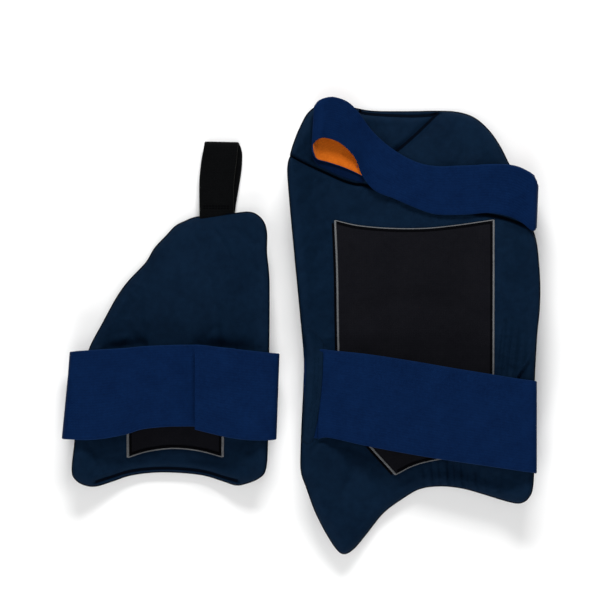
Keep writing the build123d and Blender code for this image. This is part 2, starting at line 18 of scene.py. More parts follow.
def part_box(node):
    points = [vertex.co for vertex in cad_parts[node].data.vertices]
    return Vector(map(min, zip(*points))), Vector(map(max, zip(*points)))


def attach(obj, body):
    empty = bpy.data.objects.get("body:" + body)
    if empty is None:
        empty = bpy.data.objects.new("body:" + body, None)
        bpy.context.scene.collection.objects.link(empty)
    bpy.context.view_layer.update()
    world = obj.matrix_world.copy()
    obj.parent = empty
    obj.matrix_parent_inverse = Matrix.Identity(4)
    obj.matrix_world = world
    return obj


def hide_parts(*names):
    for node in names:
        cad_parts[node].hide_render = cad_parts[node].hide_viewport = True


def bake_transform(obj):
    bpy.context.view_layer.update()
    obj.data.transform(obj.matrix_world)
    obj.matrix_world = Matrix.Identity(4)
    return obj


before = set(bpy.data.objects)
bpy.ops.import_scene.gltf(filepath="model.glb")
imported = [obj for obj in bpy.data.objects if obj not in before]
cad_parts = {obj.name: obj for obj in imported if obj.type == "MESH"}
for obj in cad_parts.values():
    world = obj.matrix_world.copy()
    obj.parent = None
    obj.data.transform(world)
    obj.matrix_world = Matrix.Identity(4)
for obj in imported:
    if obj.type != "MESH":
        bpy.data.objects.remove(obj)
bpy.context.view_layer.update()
random.seed(7)
MM = 0.001

# ------------------------------------------------------------------ the frame's own places
outer_low, outer_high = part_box("outer_shell_cover")
inner_low, inner_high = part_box("inner_shell_cover")
set_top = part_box("waist_strap")[1].y
outer_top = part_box("outer_leg_cover")[0].z + 1.6 * MM      # leg side at the trough's middle
inner_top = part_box("inner_leg_cover")[0].z + 1.6 * MM
OUTER_FLAT, OUTER_BEND = 24 * MM, 140 * MM                 # as in the CAD trough
INNER_FLAT, INNER_BEND = 20 * MM, 120 * MM
outer_mid_x = (outer_low.x + outer_high.x) / 2
inner_mid_x = (inner_low.x + inner_high.x) / 2


def places_in(low, high_x, high_y):
    """Plan points in per cent of a box, along X and along Y."""
    def at(across, along):
        return (low.x + (high_x - low.x) * across / 100, low.y + (high_y - low.y) * along / 100)
    return at


def trough(middle, flat, bend):
    """Height of a guard's outer face: flat in the middle, and bent up at both sides."""
    def rise(x):
        side = np.maximum(np.abs(np.asarray(x) - middle) - flat, 0)
        return bend - np.sqrt(bend**2 - np.minimum(side, 0.98 * bend)**2)
    return rise


outer_at = places_in(outer_low, outer_high.x, set_top)           # hip flap included
inner_at = places_in(inner_low, inner_high.x, inner_high.y)
outer_rise = trough(outer_mid_x, OUTER_FLAT, OUTER_BEND)
inner_rise = trough(inner_mid_x, INNER_FLAT, INNER_BEND)


# ------------------------------------------------------------------ camera, light, floor
def make_stage():
    scene = bpy.context.scene
    scene.view_settings.view_transform = "Standard"
    camera_data = bpy.data.cameras.new("camera")
    camera_data.sensor_width = 36
    camera_height, view_width, view_plane = 3.2, 0.570, 0.03
    camera_data.lens = 36 * (camera_height - view_plane) / view_width
    camera = bpy.data.objects.new("camera", camera_data)
    camera.location = (-0.001, 0.0243, camera_height)
    scene.collection.objects.link(camera)
    scene.camera = camera

    def softbox(name, place, target, size, power):
        light = bpy.data.lights.new(name, "AREA")
        light.shape = "RECTANGLE"
        light.size, light.size_y = size
        light.energy = power
        lamp = bpy.data.objects.new(name, light)
        lamp.location = place
        lamp.rotation_euler = (Vector(target) - Vector(place)).to_track_quat("-Z", "Y").to_euler()
        scene.collection.objects.link(lamp)

    softbox("key", (0.08, 1.50, 1.20), (0.0, 0.0, 0.0), (0.9, 0.5), 36)
    softbox("fill", (-0.20, -1.35, 1.10), (0.0, 0.0, 0.0), (1.2, 0.8), 13)
    softbox("low", (-0.30, -1.90, 0.68), (0.05, -0.15, 0.0), (0.28, 0.16), 9)
    softbox("top", (-0.1, -0.35, 2.2), (0.0, -0.1, 0.0), (1.4, 1.2), 12)

    world = bpy.data.worlds.new("studio")
    world.use_nodes = True
    world.node_tree.nodes["Background"].inputs["Color"].default_value = (1, 1, 1, 1)
    world.node_tree.nodes["Background"].inputs["Strength"].default_value = 0.24
    scene.world = world

    bpy.ops.mesh.primitive_plane_add(size=6, location=(0, 0, 0))
    floor = bpy.context.object
    floor.name = "floor"
    paint = bpy.data.materials.new("floor_paper")
    paint.use_nodes = True
    shader = paint.node_tree.nodes["Principled BSDF"]
    shader.inputs["Base Color"].default_value = (0.90, 0.90, 0.90, 1)
    shader.inputs["Roughness"].default_value = 0.9
    floor.data.materials.append(paint)


# ------------------------------------------------------------------ materials
def node_tree(name):
    material = bpy.data.materials.new(name)
    material.use_nodes = True
    return material, material.node_tree, material.node_tree.nodes["Principled BSDF"]


def add_node(tree, kind, **values):
    node = tree.nodes.new(kind)
    for key, value in values.items():
        if hasattr(node, key):
            setattr(node, key, value)
        else:
            node.inputs[key].default_value = value
    return node


def colour_mix(tree, low, high, factor):
    """Mix two colours by a factor socket."""
    mix = tree.nodes.new("ShaderNodeMix")
    mix.data_type = "RGBA"
    mix.inputs[6].default_value = (*low, 1)
    mix.inputs[7].default_value = (*high, 1)
    tree.links.new(factor, mix.inputs[0])
    return mix.outputs[2]


def maths(tree, operation, a, b):
    node = tree.nodes.new("ShaderNodeMath")
    node.operation = operation
    for socket, value in zip(node.inputs, (a, b)):
        if isinstance(value, (int, float)):
            socket.default_value = value
        else:
            tree.links.new(value, socket)
    return node.outputs[0]


def noise(tree, vector, scale, detail=3.0):
    node = add_node(tree, "ShaderNodeTexNoise", Scale=scale, Detail=detail)
    tree.links.new(vector, node.inputs["Vector"])
    return node.outputs["Fac"]


def bands(tree, vector, direction, pitch, distortion=0.0):
    """Even ribs, pitch metres apart."""
    node = add_node(tree, "ShaderNodeTexWave", wave_type="BANDS", bands_direction=direction)
    node.inputs["Scale"].default_value = 2 * math.pi / (pitch * 20)
    node.inputs["Distortion"].default_value = distortion
    tree.links.new(vector, node.inputs["Vector"])
    return node.outputs["Fac"]


def bump(tree, shader, height, distance, strength=1.0, chain=None):
    node = add_node(tree, "ShaderNodeBump")
    node.inputs["Distance"].default_value = distance
    node.inputs["Strength"].default_value = strength
    tree.links.new(height, node.inputs["Height"])
    if chain is not None:
        tree.links.new(chain, node.inputs["Normal"])
    tree.links.new(node.outputs["Normal"], shader.inputs["Normal"])
    return node.outputs["Normal"]


def place_vector(tree, attribute=None):
    """Where a point is: in the object, or along and across a strap."""
    if attribute:
        node = add_node(tree, "ShaderNodeAttribute", attribute_name=attribute)
        return node.outputs["Vector"]
    return tree.nodes.new("ShaderNodeTexCoord").outputs["Object"]


def fabric(name, dark, light, roughness, sheen, sheen_tint, pitch, rib_depth, cloud=35.0,
           attribute=None, ribs=("X", "Y"), second_pitch=None, fuzz=0.0, gloss=0.02):
    """A woven or knitted cloth: two crossing sets of ribs, patchy colour and a soft sheen."""
    material, tree, shader = node_tree(name)
    place = place_vector(tree, attribute)
    where = place_vector(tree)
    patches = noise(tree, where, cloud, 4.0)
    grain = noise(tree, where, 1 / (1.2 * pitch), 2.0)
    first = bands(tree, place, ribs[0], pitch)
    second = bands(tree, place, ribs[1], second_pitch or pitch)
    weave = maths(tree, "MULTIPLY", first, second)
    fine = noise(tree, where, 5 * cloud, 3.0)
    tone = maths(tree, "ADD", maths(tree, "MULTIPLY", patches, 0.55),
                 maths(tree, "MULTIPLY", grain, 0.35))
    tone = maths(tree, "ADD", tone, maths(tree, "MULTIPLY", fine, 0.45))
    tone = maths(tree, "SUBTRACT", tone, 0.28)
    tone = maths(tree, "ADD", tone, maths(tree, "MULTIPLY", weave, 0.25))
    tree.links.new(colour_mix(tree, dark, light, tone), shader.inputs["Base Color"])
    rough = maths(tree, "ADD", roughness, maths(tree, "MULTIPLY", grain, 0.15))
    tree.links.new(rough, shader.inputs["Roughness"])
    shader.inputs["Sheen Weight"].default_value = sheen
    shader.inputs["Sheen Roughness"].default_value = 0.45
    shader.inputs["Sheen Tint"].default_value = (*sheen_tint, 1)
    shader.inputs["Specular IOR Level"].default_value = gloss
    normal = bump(tree, shader, weave, rib_depth)
    if fuzz:
        bump(tree, shader, noise(tree, where, 900.0, 5.0), fuzz, 0.7, normal)
    return material


def make_materials():
    """Dark and light colour, roughness, sheen and its tint, rib pitch and depth in mm, and the rest."""
    sky, ice, dull, warm, white = (0.35, 0.65, 1), (0.4, 0.6, 1), (0.8, 0.8, 0.9), (1, 0.8, 0.5), (1, 1, 1)
    strap = {"attribute": "strap"}
    edge = {"attribute": "strap", "cloud": 60.0}
    wide = {"attribute": "strap", "cloud": 60.0, "second_pitch": 2.4 * MM}
    belt = {"attribute": "strap", "second_pitch": 2.2 * MM}
    knit, brushed, pile = ({"fuzz": depth * MM} for depth in (0.05, 0.15, 0.4))
    rows = {
        "cover": ("cover_knit", (0.0007, 0.0038, 0.0112), (0.0037, 0.0148, 0.0365),
                  0.62, 0.015, sky, 0.9, 0.10, knit),
        "cover_back": ("cover_back_knit", (0.0004, 0.0046, 0.0145), (0.0020, 0.0125, 0.0330),
                       0.6, 0.035, sky, 1.3, 0.16, knit),
        "elastic": ("elastic_weave", (0.0004, 0.0048, 0.0250), (0.0022, 0.0150, 0.0620),
                    0.6, 0.015, ice, 1.25, 0.16, wide),
        # a darker copy of the elastic: painted shade for the layer under the waist strap's roll
        "elastic_painted_shade": ("elastic_under_painted_shade", (0.0003, 0.0030, 0.0160), (0.0012, 0.0085, 0.0340),
                         0.6, 0.01, ice, 1.25, 0.16, wide),
        # a lighter copy of the elastic for the straps' edges and ends: painted highlight where the edges
        # catch the light
        "elastic_edge_highlight": ("elastic_selvedge_highlight", (0.0010, 0.0085, 0.038), (0.0035, 0.021, 0.080),
                         0.6, 0.03, ice, 0.8, 0.15, edge),
        "orange": ("elastic_orange", (0.38, 0.070, 0.003), (0.62, 0.15, 0.012),
                   0.65, 0.06, warm, 1.25, 0.2, strap),
        "lining": ("lining_brushed", (0.0022, 0.0023, 0.0036), (0.0062, 0.0063, 0.0084),
                   0.9, 0.14, dull, 1.6, 0.12, brushed),
        "seam": ("seam_tape", (0.06, 0.064, 0.07), (0.19, 0.195, 0.20), 0.7, 0.03, white, 0.9, 0.2, strap),
        "webbing": ("webbing_weave", (0.0006, 0.0007, 0.0010), (0.0026, 0.0029, 0.0033),
                    0.65, 0.03, (0.9, 0.9, 0.8), 1.5, 0.35, belt),
        # near-black thread; on the hip flex web it is painted shade of the crease
        "thread": ("thread_dark_and_crease_shade", (0.0002, 0.001, 0.003), (0.001, 0.003, 0.008),
                   0.7, 0.0, ice, 0.35, 0.05, {}),
        "thread_teal": ("thread_teal", (0.0004, 0.005, 0.014), (0.003, 0.015, 0.036),
                        0.6, 0.02, sky, 0.35, 0.05, {}),
        "thread_blue": ("thread_blue", (0.003, 0.016, 0.06), (0.008, 0.034, 0.11),
                        0.55, 0.03, ice, 0.35, 0.05, {}),
        # darker copy of the lining: painted shade for the hem strips inside the seams, and the dark thread
        # of the bar tacks
        "hem": ("lining_hem_painted_shade_and_tack_thread", (0.0006, 0.0006, 0.0010), (0.0022, 0.0022, 0.003),
                0.9, 0.0, dull, 0.8, 0.1, {}),
        "hook": ("hook_tape", (0.0025, 0.0025, 0.003), (0.009, 0.009, 0.011),
                 0.5, 0.0, white, 1.5, 0.7, {"gloss": 0.3}),
        "pile": ("landing_pile", (0.002, 0.006, 0.016), (0.007, 0.016, 0.036),
                 0.9, 0.12, ice, 1.1, 0.3, pile)}
    return {key: fabric(*row[:6], row[6] * MM, row[7] * MM, **row[8]) for key, row in rows.items()}


# ------------------------------------------------------------------ curves in plan
STEP = 2.6 * MM


def between(a, b, c, d, count):
    """Points from b on towards c, on the smooth curve through a, b, c and d."""
    return [0.5 * (2 * b + (c - a) * t + (2 * a - 5 * b + 4 * c - d) * t**2
                   + (3 * b - a - 3 * c + d) * t**3) for t in (k / count for k in range(count))]


def catmull(points, closed, step):
    """Smooth curve through points, with samples about step apart."""
    pts = [np.array(p, float) for p in points]
    count = len(pts)
    out = []
    spans = count if closed else count - 1
    for i in range(spans):
        if closed:
            a, b, c, d = (pts[(i + k - 1) % count] for k in range(4))
        else:
            b, c = pts[i], pts[i + 1]
            a = pts[i - 1] if i else 2 * b - c
            d = pts[i + 2] if i + 2 < count else 2 * c - b
        out += between(a, b, c, d, max(1, int(round(np.linalg.norm(c - b) / step))))
    if not closed:
        out.append(pts[-1])
    return np.array(out)


def curve(at, *points, closed=False):
    """Smooth plan curve through points in per cent of a guard's box."""
    return catmull([at(*p) for p in points], closed, STEP)


def joined(*paths):
    """One closed outline from smooth paths that meet at corners."""
    return np.vstack([p[:-1] for p in paths])


def distance_to(points, loop, closed=True):
    """Shortest distance from each point to a polyline."""
    a = loop
    b = np.roll(loop, -1, 0)
    if not closed:
        a, b = loop[:-1], loop[1:]
    best = np.full(len(points), 1e9)
    for start in range(0, len(a), 64):
        p, q = a[start:start + 64], b[start:start + 64]
        d = q - p
        length = np.maximum((d**2).sum(1), 1e-18)
        t = np.clip(((points[:, None] - p) * d).sum(2) / length, 0, 1)
        gap = points[:, None] - (p + t[..., None] * d)
        best = np.minimum(best, np.sqrt((gap**2).sum(2)).min(1))
    return best


def inside(points, loop):
    x, y = points[:, 0], points[:, 1]
    result = np.zeros(len(points), bool)
    for (x1, y1), (x2, y2) in zip(loop, np.roll(loop, -1, 0)):
        crosses = (y1 > y) != (y2 > y)
        with np.errstate(divide="ignore", invalid="ignore"):
            at = (x2 - x1) * (y - y1) / (y2 - y1) + x1
        result ^= crosses & (x < at)
    return result


def plan_mesh(loop, rings, grid):
    """Triangles that fill a closed outline: rows beside its edge, then an even grid."""
    forward = np.roll(loop, -1, 0) - np.roll(loop, 1, 0)
    normal = np.stack([-forward[:, 1], forward[:, 0]], 1)
    normal /= np.maximum(np.linalg.norm(normal, axis=1, keepdims=True), 1e-12)
    area = 0.5 * np.sum(loop[:, 0] * np.roll(loop[:, 1], -1) - np.roll(loop[:, 0], -1) * loop[:, 1])
    if area < 0:
        normal = -normal
    points = [loop]
    for ring in rings:
        row = loop + normal * ring
        keep = inside(row, loop)
        keep[keep] = distance_to(row[keep], loop) > 0.97 * ring
        points.append(row[keep])
    low, high = loop.min(0), loop.max(0)
    xs = np.arange(low[0], high[0], grid)
    ys = np.arange(low[1], high[1], grid * 0.866)
    cells = np.array([(x + (grid / 2 if j % 2 else 0), y) for j, y in enumerate(ys) for x in xs])
    cells = cells[inside(cells, loop)]
    last = rings[-1] if len(rings) else 0.0
    cells = cells[distance_to(cells, loop) > last + 0.6 * grid]
    points.append(cells)
    flat = np.vstack(points)
    n = len(loop)
    edges = [(i, (i + 1) % n) for i in range(n)]
    verts, _, faces, *_ = delaunay_2d_cdt([Vector(p) for p in flat], edges, [], 1, 1e-7)
    return np.array([tuple(v) for v in verts]), [tuple(f) for f in faces]


# ------------------------------------------------------------------ mesh makers
def link_mesh(name, verts, faces, materials, smooth=True):
    mesh = bpy.data.meshes.new(name)
    mesh.from_pydata([tuple(v) for v in verts], [], faces)
    mesh.update()
    bm = bmesh.new()
    bm.from_mesh(mesh)
    bmesh.ops.recalc_face_normals(bm, faces=bm.faces)
    bm.to_mesh(mesh)
    bm.free()
    if smooth:
        mesh.polygons.foreach_set("use_smooth", [True] * len(mesh.polygons))
    obj = bpy.data.objects.new(name, mesh)
    bpy.context.scene.collection.objects.link(obj)
    for material in materials:
        mesh.materials.append(material)
    return obj


def rounded(gap, reach):
    """From 0 at an edge to 1 at reach inside it, along a quarter circle."""
    return np.sqrt(np.clip(1 - (1 - np.clip(gap / reach, 0, 1))**2, 0, 1))


def closed_form(name, flat, faces, top, bottom, rim, materials):
    """Two faces over one plan mesh that share their rim. The lower one takes the last material."""
    count = len(flat)
    under = np.arange(count) + count
    under[rim] = np.arange(count)[rim]
    verts = np.vstack([np.column_stack([flat, top]), np.column_stack([flat, bottom])])
    both = [tuple(f) for f in faces] + [tuple(int(under[i]) for i in reversed(f)) for f in faces]
    used = sorted({i for f in both for i in f})
    index = {old: new for new, old in enumerate(used)}
    obj = link_mesh(name, verts[used], [tuple(index[i] for i in f) for f in both], materials)
    if len(materials) > 1:
        for polygon in obj.data.polygons:
            if any(used[i] >= count for i in polygon.vertices):
                polygon.material_index = 1
    return obj


def padded_form(name, loop, rise, thickness, edge_width, grid, materials, pinched=None):
    """A closed pad over a plan: full in the middle, drawn in to a seam round its edge."""
    rings = [0.5 * MM, 1.4 * MM, 2.8 * MM, 4.8 * MM, 7.5 * MM]
    flat, faces = plan_mesh(loop, rings, grid)
    gap = distance_to(flat, loop)
    rim = gap < 1e-6
    reach = edge_width
    if pinched is not None:
        near = np.exp(-(distance_to(flat, pinched, closed=False) / (16 * MM))**2)
        reach = edge_width * (1 - 0.6 * near)
    middle = rise(flat[:, 0]) + thickness / 2
    half = thickness / 2 * rounded(gap, reach)
    return closed_form(name, flat, faces, np.where(rim, middle, middle + half), middle - half, rim,
                       materials)


def puff(obj, held, cap, pressure=4.0, slack=-0.012):
    """Cloth simulation: the cover fills out between the rows that hold it."""
    mesh = obj.data
    rest = np.array([v.co for v in mesh.vertices])
    pins = held(rest)
    group = obj.vertex_groups.new(name="held")
    for i, weight in enumerate(pins):
        if weight > 0:
            group.add([i], float(weight), "REPLACE")
    cloth = obj.modifiers.new("cloth", "CLOTH")
    settings = cloth.settings
    settings.quality = 4
    settings.mass = 0.25
    settings.tension_stiffness = 12
    settings.compression_stiffness = 12
    settings.shear_stiffness = 4
    settings.bending_stiffness = 0.6
    settings.use_pressure = True
    settings.uniform_pressure_force = pressure
    settings.vertex_group_mass = "held"
    settings.shrink_min = slack
    settings.effector_weights.gravity = 0
    cloth.collision_settings.use_collision = False
    cloth.point_cache.frame_start = 1
    cloth.point_cache.frame_end = 20
    scene = bpy.context.scene
    for step in range(1, 21):
        scene.frame_set(step)
    shaped = obj.evaluated_get(bpy.context.evaluated_depsgraph_get()).to_mesh()
    moved = np.array([v.co for v in shaped.vertices]) - rest
    obj.modifiers.remove(cloth)
    obj.vertex_groups.remove(group)
    length = np.maximum(np.linalg.norm(moved, axis=1, keepdims=True), 1e-9)
    moved *= np.minimum(1, cap / length)
    moved *= (1 - pins)[:, None]
    shape = rest + moved
    shape[:, 2] = np.maximum(shape[:, 2], 0.3 * MM)
    mesh.vertices.foreach_set("co", shape.ravel())
    mesh.update()
    scene.frame_set(1)


def tree_of(*objs):
    """Ray-cast tree of the final surfaces."""
    bpy.context.view_layer.update()
    graph = bpy.context.evaluated_depsgraph_get()
    verts, faces = [], []
    for obj in objs:
        shaped = obj.evaluated_get(graph).to_mesh()
        base = len(verts)
        verts += [v.co.copy() for v in shaped.vertices]
        faces += [[base + i for i in p.vertices] for p in shaped.polygons]
    return BVHTree.FromPolygons(verts, faces)


def face_of(tree, rise, top):
    """Height over the plan of a pad's upper face, or of its lower face where top is 0."""
    start, way = (0.3, -1) if top else (-0.3, 1)

    def height(x, y):
        hit = tree.ray_cast(Vector((x, y, start)), Vector((0, 0, way)))[0]
        return hit.z if hit is not None else top + float(rise(x))
    return height


def ribbon(name, edges, thickness, materials, rows=10, inner_material=0, part=None):
    """A strap between two edge curves: closed, with rounded selvedges.

    Edges are two 3D point lists of the same length, and the strap is smooth through
    them. It stores how far along and across it a point lies.
    """
    selvedge = 2.5 * MM
    low, high = ([np.array(p, float) for p in edge] for edge in edges)
    middle = [(a + b) / 2 for a, b in zip(low, high)]
    spans = [max(2, int(np.linalg.norm(q - p) / (3 * MM))) for p, q in zip(middle, middle[1:])]

    def sampled(points):
        out = []
        count = len(points)
        for i, n in enumerate(spans):
            b, c = points[i], points[i + 1]
            a = points[i - 1] if i else 2 * b - c
            d = points[i + 2] if i + 2 < count else 2 * c - b
            out += between(a, b, c, d, n)
        out.append(points[-1])
        return np.array(out)

    a, b = sampled(low), sampled(high)
    stations = len(a)
    mids = (a + b) / 2
    along = run_length(mids)
    width = np.linalg.norm(b - a, axis=1).mean()
    inner = np.linspace(selvedge / width, 1 - selvedge / width, rows - 1)
    across = np.concatenate([[0, 0.25 * selvedge / width], inner,
                             [1 - 0.25 * selvedge / width, 1]])
    centre = a[:, None] * (1 - across)[None, :, None] + b[:, None] * across[None, :, None]
    tangent = np.gradient(centre, axis=0)
    side = np.gradient(centre, axis=1)
    normal = np.cross(tangent, side)
    normal /= np.maximum(np.linalg.norm(normal, axis=2, keepdims=True), 1e-12)
    half = np.full(len(across), thickness / 2)
    half[[1, -2]] *= 0.92
    columns = len(across)
    upper = centre + normal * half[None, :, None]
    lower = centre - normal * half[None, :, None]
    upper[:, 0], upper[:, -1] = centre[:, 0], centre[:, -1]
    if part is not None:
        marks = np.concatenate([[0], np.cumsum(spans)])
        chosen = slice(marks[part[0]], marks[part[1]] + 1)
        upper, lower, along = upper[chosen], lower[chosen], along[chosen]
        stations = len(along)
    verts, strap, faces, kinds = [], [], [], []
    ring = 2 * columns - 2
    for s in range(stations):
        verts += [*upper[s], *lower[s, -2:0:-1]]
        strap += [(along[s], p * width, 0.0) for p in (*across, *across[-2:0:-1])]
    for s in range(stations - 1):
        for k in range(ring):
            q = (k + 1) % ring
            faces.append((s * ring + k, s * ring + q, (s + 1) * ring + q, (s + 1) * ring + k))
            face_up = k < columns - 1
            at_edge = k in (0, columns - 2, columns - 1, ring - 1)
            kinds.append(1 if at_edge else (0 if face_up else inner_material))
    for s in (0, stations - 1):
        base = len(verts)
        verts += verts[s * ring:(s + 1) * ring]
        strap += strap[s * ring:(s + 1) * ring]
        faces.append(tuple(base + k for k in range(ring)))
        kinds.append(1)
    obj = link_mesh(name, verts, faces, materials)
    for polygon, kind in zip(obj.data.polygons, kinds):
        polygon.material_index = min(kind, len(materials) - 1)
    store_strap(obj, strap)
    return obj


def store_strap(obj, values):
    layer = obj.data.attributes.new("strap", "FLOAT_VECTOR", "POINT")
    layer.data.foreach_set("vector", np.array(values, float).ravel())


def loft(rings, sides, closed=False, first=0):
    """Faces between rings of points, capped at both ends unless the last joins the first."""
    faces = []
    for i in range(rings if closed else rings - 1):
        a, b = first + i * sides, first + (i + 1) % rings * sides
        for k in range(sides):
            q = (k + 1) % sides
            faces.append((a + k, a + q, b + q, b + k))
    if not closed:
        faces.append(tuple(first + k for k in range(sides)))
        faces.append(tuple(first + (rings - 1) * sides + k for k in range(sides)))
    return faces


def run_length(points):
    """How far along a line each of its points lies."""
    return np.concatenate([[0], np.cumsum(np.linalg.norm(np.diff(points, axis=0), axis=1))])


def left_of(path):
    """Unit vectors in plan to the left of a path, and the path as an array."""
    path = np.array(path)
    tangent = np.gradient(path, axis=0)
    tangent /= np.maximum(np.linalg.norm(tangent, axis=1, keepdims=True), 1e-12)
    return np.stack([-tangent[:, 1], tangent[:, 0]], 1), path


def flat_strip(name, path, width, height, materials, lift):
    """A narrow tape that lies on a surface, along a plan path. lift(x, y) is the surface."""
    normal, path = left_of(path)
    section = [(-0.5, -0.6), (-0.5, 0.35), (-0.36, 0.9), (-0.12, 1.0), (0.12, 1.0), (0.36, 0.9),
               (0.5, 0.35), (0.5, -0.6)]
    verts, strap = [], []
    for p, n, s in zip(path, normal, run_length(path)):
        for u, v in section:
            x, y = p + n * u * width
            verts.append((x, y, lift(x, y) + v * height))
            strap.append((s, u * width, 0.0))
    obj = link_mesh(name, verts, loft(len(path), len(section)), materials)
    store_strap(obj, strap)
    return obj


def stitches(name, path, lift, material, length=3.0 * MM, gap=1.1 * MM, radius=0.42 * MM, side=1):
    """A row of separate stitches sunk a little into a surface, along a plan path."""
    path = np.array(path)
    along = run_length(path)
    verts, faces = [], []
    start = gap
    rings = ((-1.0, 0.15), (-0.75, 0.75), (-0.25, 1.0), (0.25, 1.0), (0.75, 0.75), (1.0, 0.15))
    while start + length < along[-1]:
        ends = []
        for s in (start, start + length):
            x = np.interp(s, along, path[:, 0])
            y = np.interp(s, along, path[:, 1])
            ends.append(Vector((x, y, lift(x, y) + side * 0.25 * radius)))
        axis = (ends[1] - ends[0])
        centre = (ends[0] + ends[1]) / 2
        across = axis.cross(Vector((0, 0, 1))).normalized()
        up = across.cross(axis).normalized()
        faces += loft(len(rings), 6, first=len(verts))
        for t, r in rings:
            for k in range(6):
                angle = k * math.pi / 3
                verts.append(centre + axis * (t / 2) + across * math.cos(angle) * r * radius
                             + up * math.sin(angle) * r * radius)
        start += length + gap
    return link_mesh(name, verts, faces, [material])


def ridge(points, a, b, width, height):
    """A fold from a to b: a soft ridge or, with a negative height, a groove."""
    a, b = np.array(a), np.array(b)
    d = b - a
    t = ((points - a) @ d) / (d @ d)
    gap = np.linalg.norm(points - (a + np.clip(t, 0, 1)[:, None] * d), axis=1)
    fade = np.sin(np.pi * np.clip(t, 0.0, 1.0)) ** 0.5
    return height * fade * np.exp(-(gap / width)**2)


def groove(points, path, width, depth):
    """A sewn-down line along a path."""
    return -depth * np.exp(-(distance_to(points, path, closed=False) / width)**2)


# ------------------------------------------------------------------ plans
crease = curve(outer_at, (1.0, 86.8), (7.5, 85.0), (15.5, 83.2), (22.3, 81.6), (27.0, 80.9),
               (31.5, 80.7), (45.0, 78.6), (60.0, 76.3), (70.0, 75.2), (80.0, 74.3), (88.0, 73.2),
               (97.2, 71.2))
outer_side = curve(outer_at, (97.2, 71.2), (98.9, 67.5), (100.0, 60.0), (99.9, 54.0), (98.8, 47.0),
                   (97.9, 36.0), (97.9, 24.0), (97.5, 15.5), (96.0, 12.7), (93.0, 11.4), (88.5, 11.6),
                   (80.0, 12.9), (70.5, 14.3), (61.5, 14.8), (53.0, 14.2), (45.5, 11.9), (38.0, 8.8),
                   (31.5, 4.4), (26.5, 1.2), (22.8, 0.0), (19.8, 0.9), (15.5, 4.5), (11.0, 9.4),
                   (7.5, 14.7), (5.4, 18.2), (5.3, 23.0), (5.8, 30.0), (6.5, 38.0), (6.6, 43.0),
                   (5.4, 50.5), (4.1, 58.0), (2.6, 66.5), (1.0, 76.0), (0.0, 83.0), (0.3, 85.6),
                   (1.0, 86.8))
hip_side = curve(outer_at, (1.0, 87.1), (2.4, 89.7), (4.8, 93.0), (8.2, 96.4), (13.0, 98.2),
                 (19.0, 98.4), (26.0, 97.7), (34.0, 97.0), (48.0, 96.9), (60.5, 97.0), (68.5, 96.7),
                 (75.0, 95.4), (80.6, 92.6), (84.8, 89.2), (88.2, 85.4), (91.5, 82.0), (94.8, 77.0),
                 (97.2, 71.5))
outer_loop = joined(outer_side, crease)
crease_up = crease + np.array([0, 1.0 * MM])
hip_loop = joined(np.vstack([hip_side[:-1], crease_up[-1:]]), crease_up[::-1])
corner_line = curve(outer_at, (60.3, 96.7), (53.0, 92.8), (46.5, 89.6), (43.2, 88.2))
top_line = curve(outer_at, (28.6, 97.2), (31.5, 96.5), (46.2, 96.0), (55.5, 96.1), (60.3, 96.6))

window_top = curve(outer_at, (18.8, 73.0), (28.0, 71.9), (41.0, 71.3), (55.0, 71.3), (68.0, 72.0),
                   (82.3, 73.1))
window_right = curve(outer_at, (82.3, 73.1), (82.2, 45.0), (81.9, 21.5))
window_low = curve(outer_at, (81.9, 21.5), (70.0, 21.3), (58.0, 20.4), (50.0, 19.2), (43.2, 17.3))
window_cut = curve(outer_at, (43.2, 17.3), (33.1, 23.4), (20.7, 31.2))
window_left = curve(outer_at, (20.7, 31.2), (20.0, 48.0), (19.6, 62.0), (18.8, 73.0))
window_loop = joined(window_top, window_right, window_low, window_cut, window_left)

inner_loop = curve(inner_at, (63.0, 98.2), (56.5, 96.5), (52.0, 94.8), (47.5, 91.4), (41.5, 86.8),
                   (37.0, 81.5), (28.0, 74.6), (22.0, 68.5), (14.5, 58.5), (8.5, 50.0), (5.0, 40.0),
                   (2.5, 28.0), (1.4, 16.5), (0.0, 6.2), (1.5, 2.6), (6.0, 0.4), (11.5, -0.1),
                   (19.0, 1.4), (29.0, 3.7), (42.0, 4.8), (55.5, 4.6), (67.0, 3.6), (76.5, 1.6),
                   (83.0, 0.2), (88.0, 0.8), (94.5, 2.8), (98.2, 6.2), (99.2, 16.5), (99.5, 30.0),
                   (99.8, 49.5), (100.0, 70.0), (99.7, 78.0), (98.7, 85.0), (98.7, 92.5), (97.0, 96.5),
                   (93.5, 99.0), (89.5, 99.9), (84.0, 99.6), (75.0, 98.9), closed=True)
inner_window_low = curve(inner_at, (27.8, 10.2), (38.0, 12.4), (51.0, 13.5), (64.0, 12.6), (76.3, 10.4))
inner_window_right = curve(inner_at, (76.3, 10.4), (76.5, 28.0), (76.5, 43.0))
inner_window_top = curve(inner_at, (76.5, 43.0), (52.0, 43.5), (27.8, 43.0))
inner_window_left = curve(inner_at, (27.8, 43.0), (27.7, 28.0), (27.8, 10.2))
inner_window_loop = joined(inner_window_low, inner_window_right, inner_window_top, inner_window_left)
inner_lip = curve(inner_at, (11.5, 1.3), (19.0, 3.0), (29.0, 5.1), (42.0, 6.1), (55.5, 5.9),
                  (67.0, 4.9), (76.5, 3.0), (84.0, 1.6))

make_stage()
M = make_materials()


def keep(obj, body, slot, *nodes):
    """Ride and replace, for a finished piece. The slot is not used."""
    if body:
        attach(obj, body)
    if nodes:
        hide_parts(*nodes)
    return obj


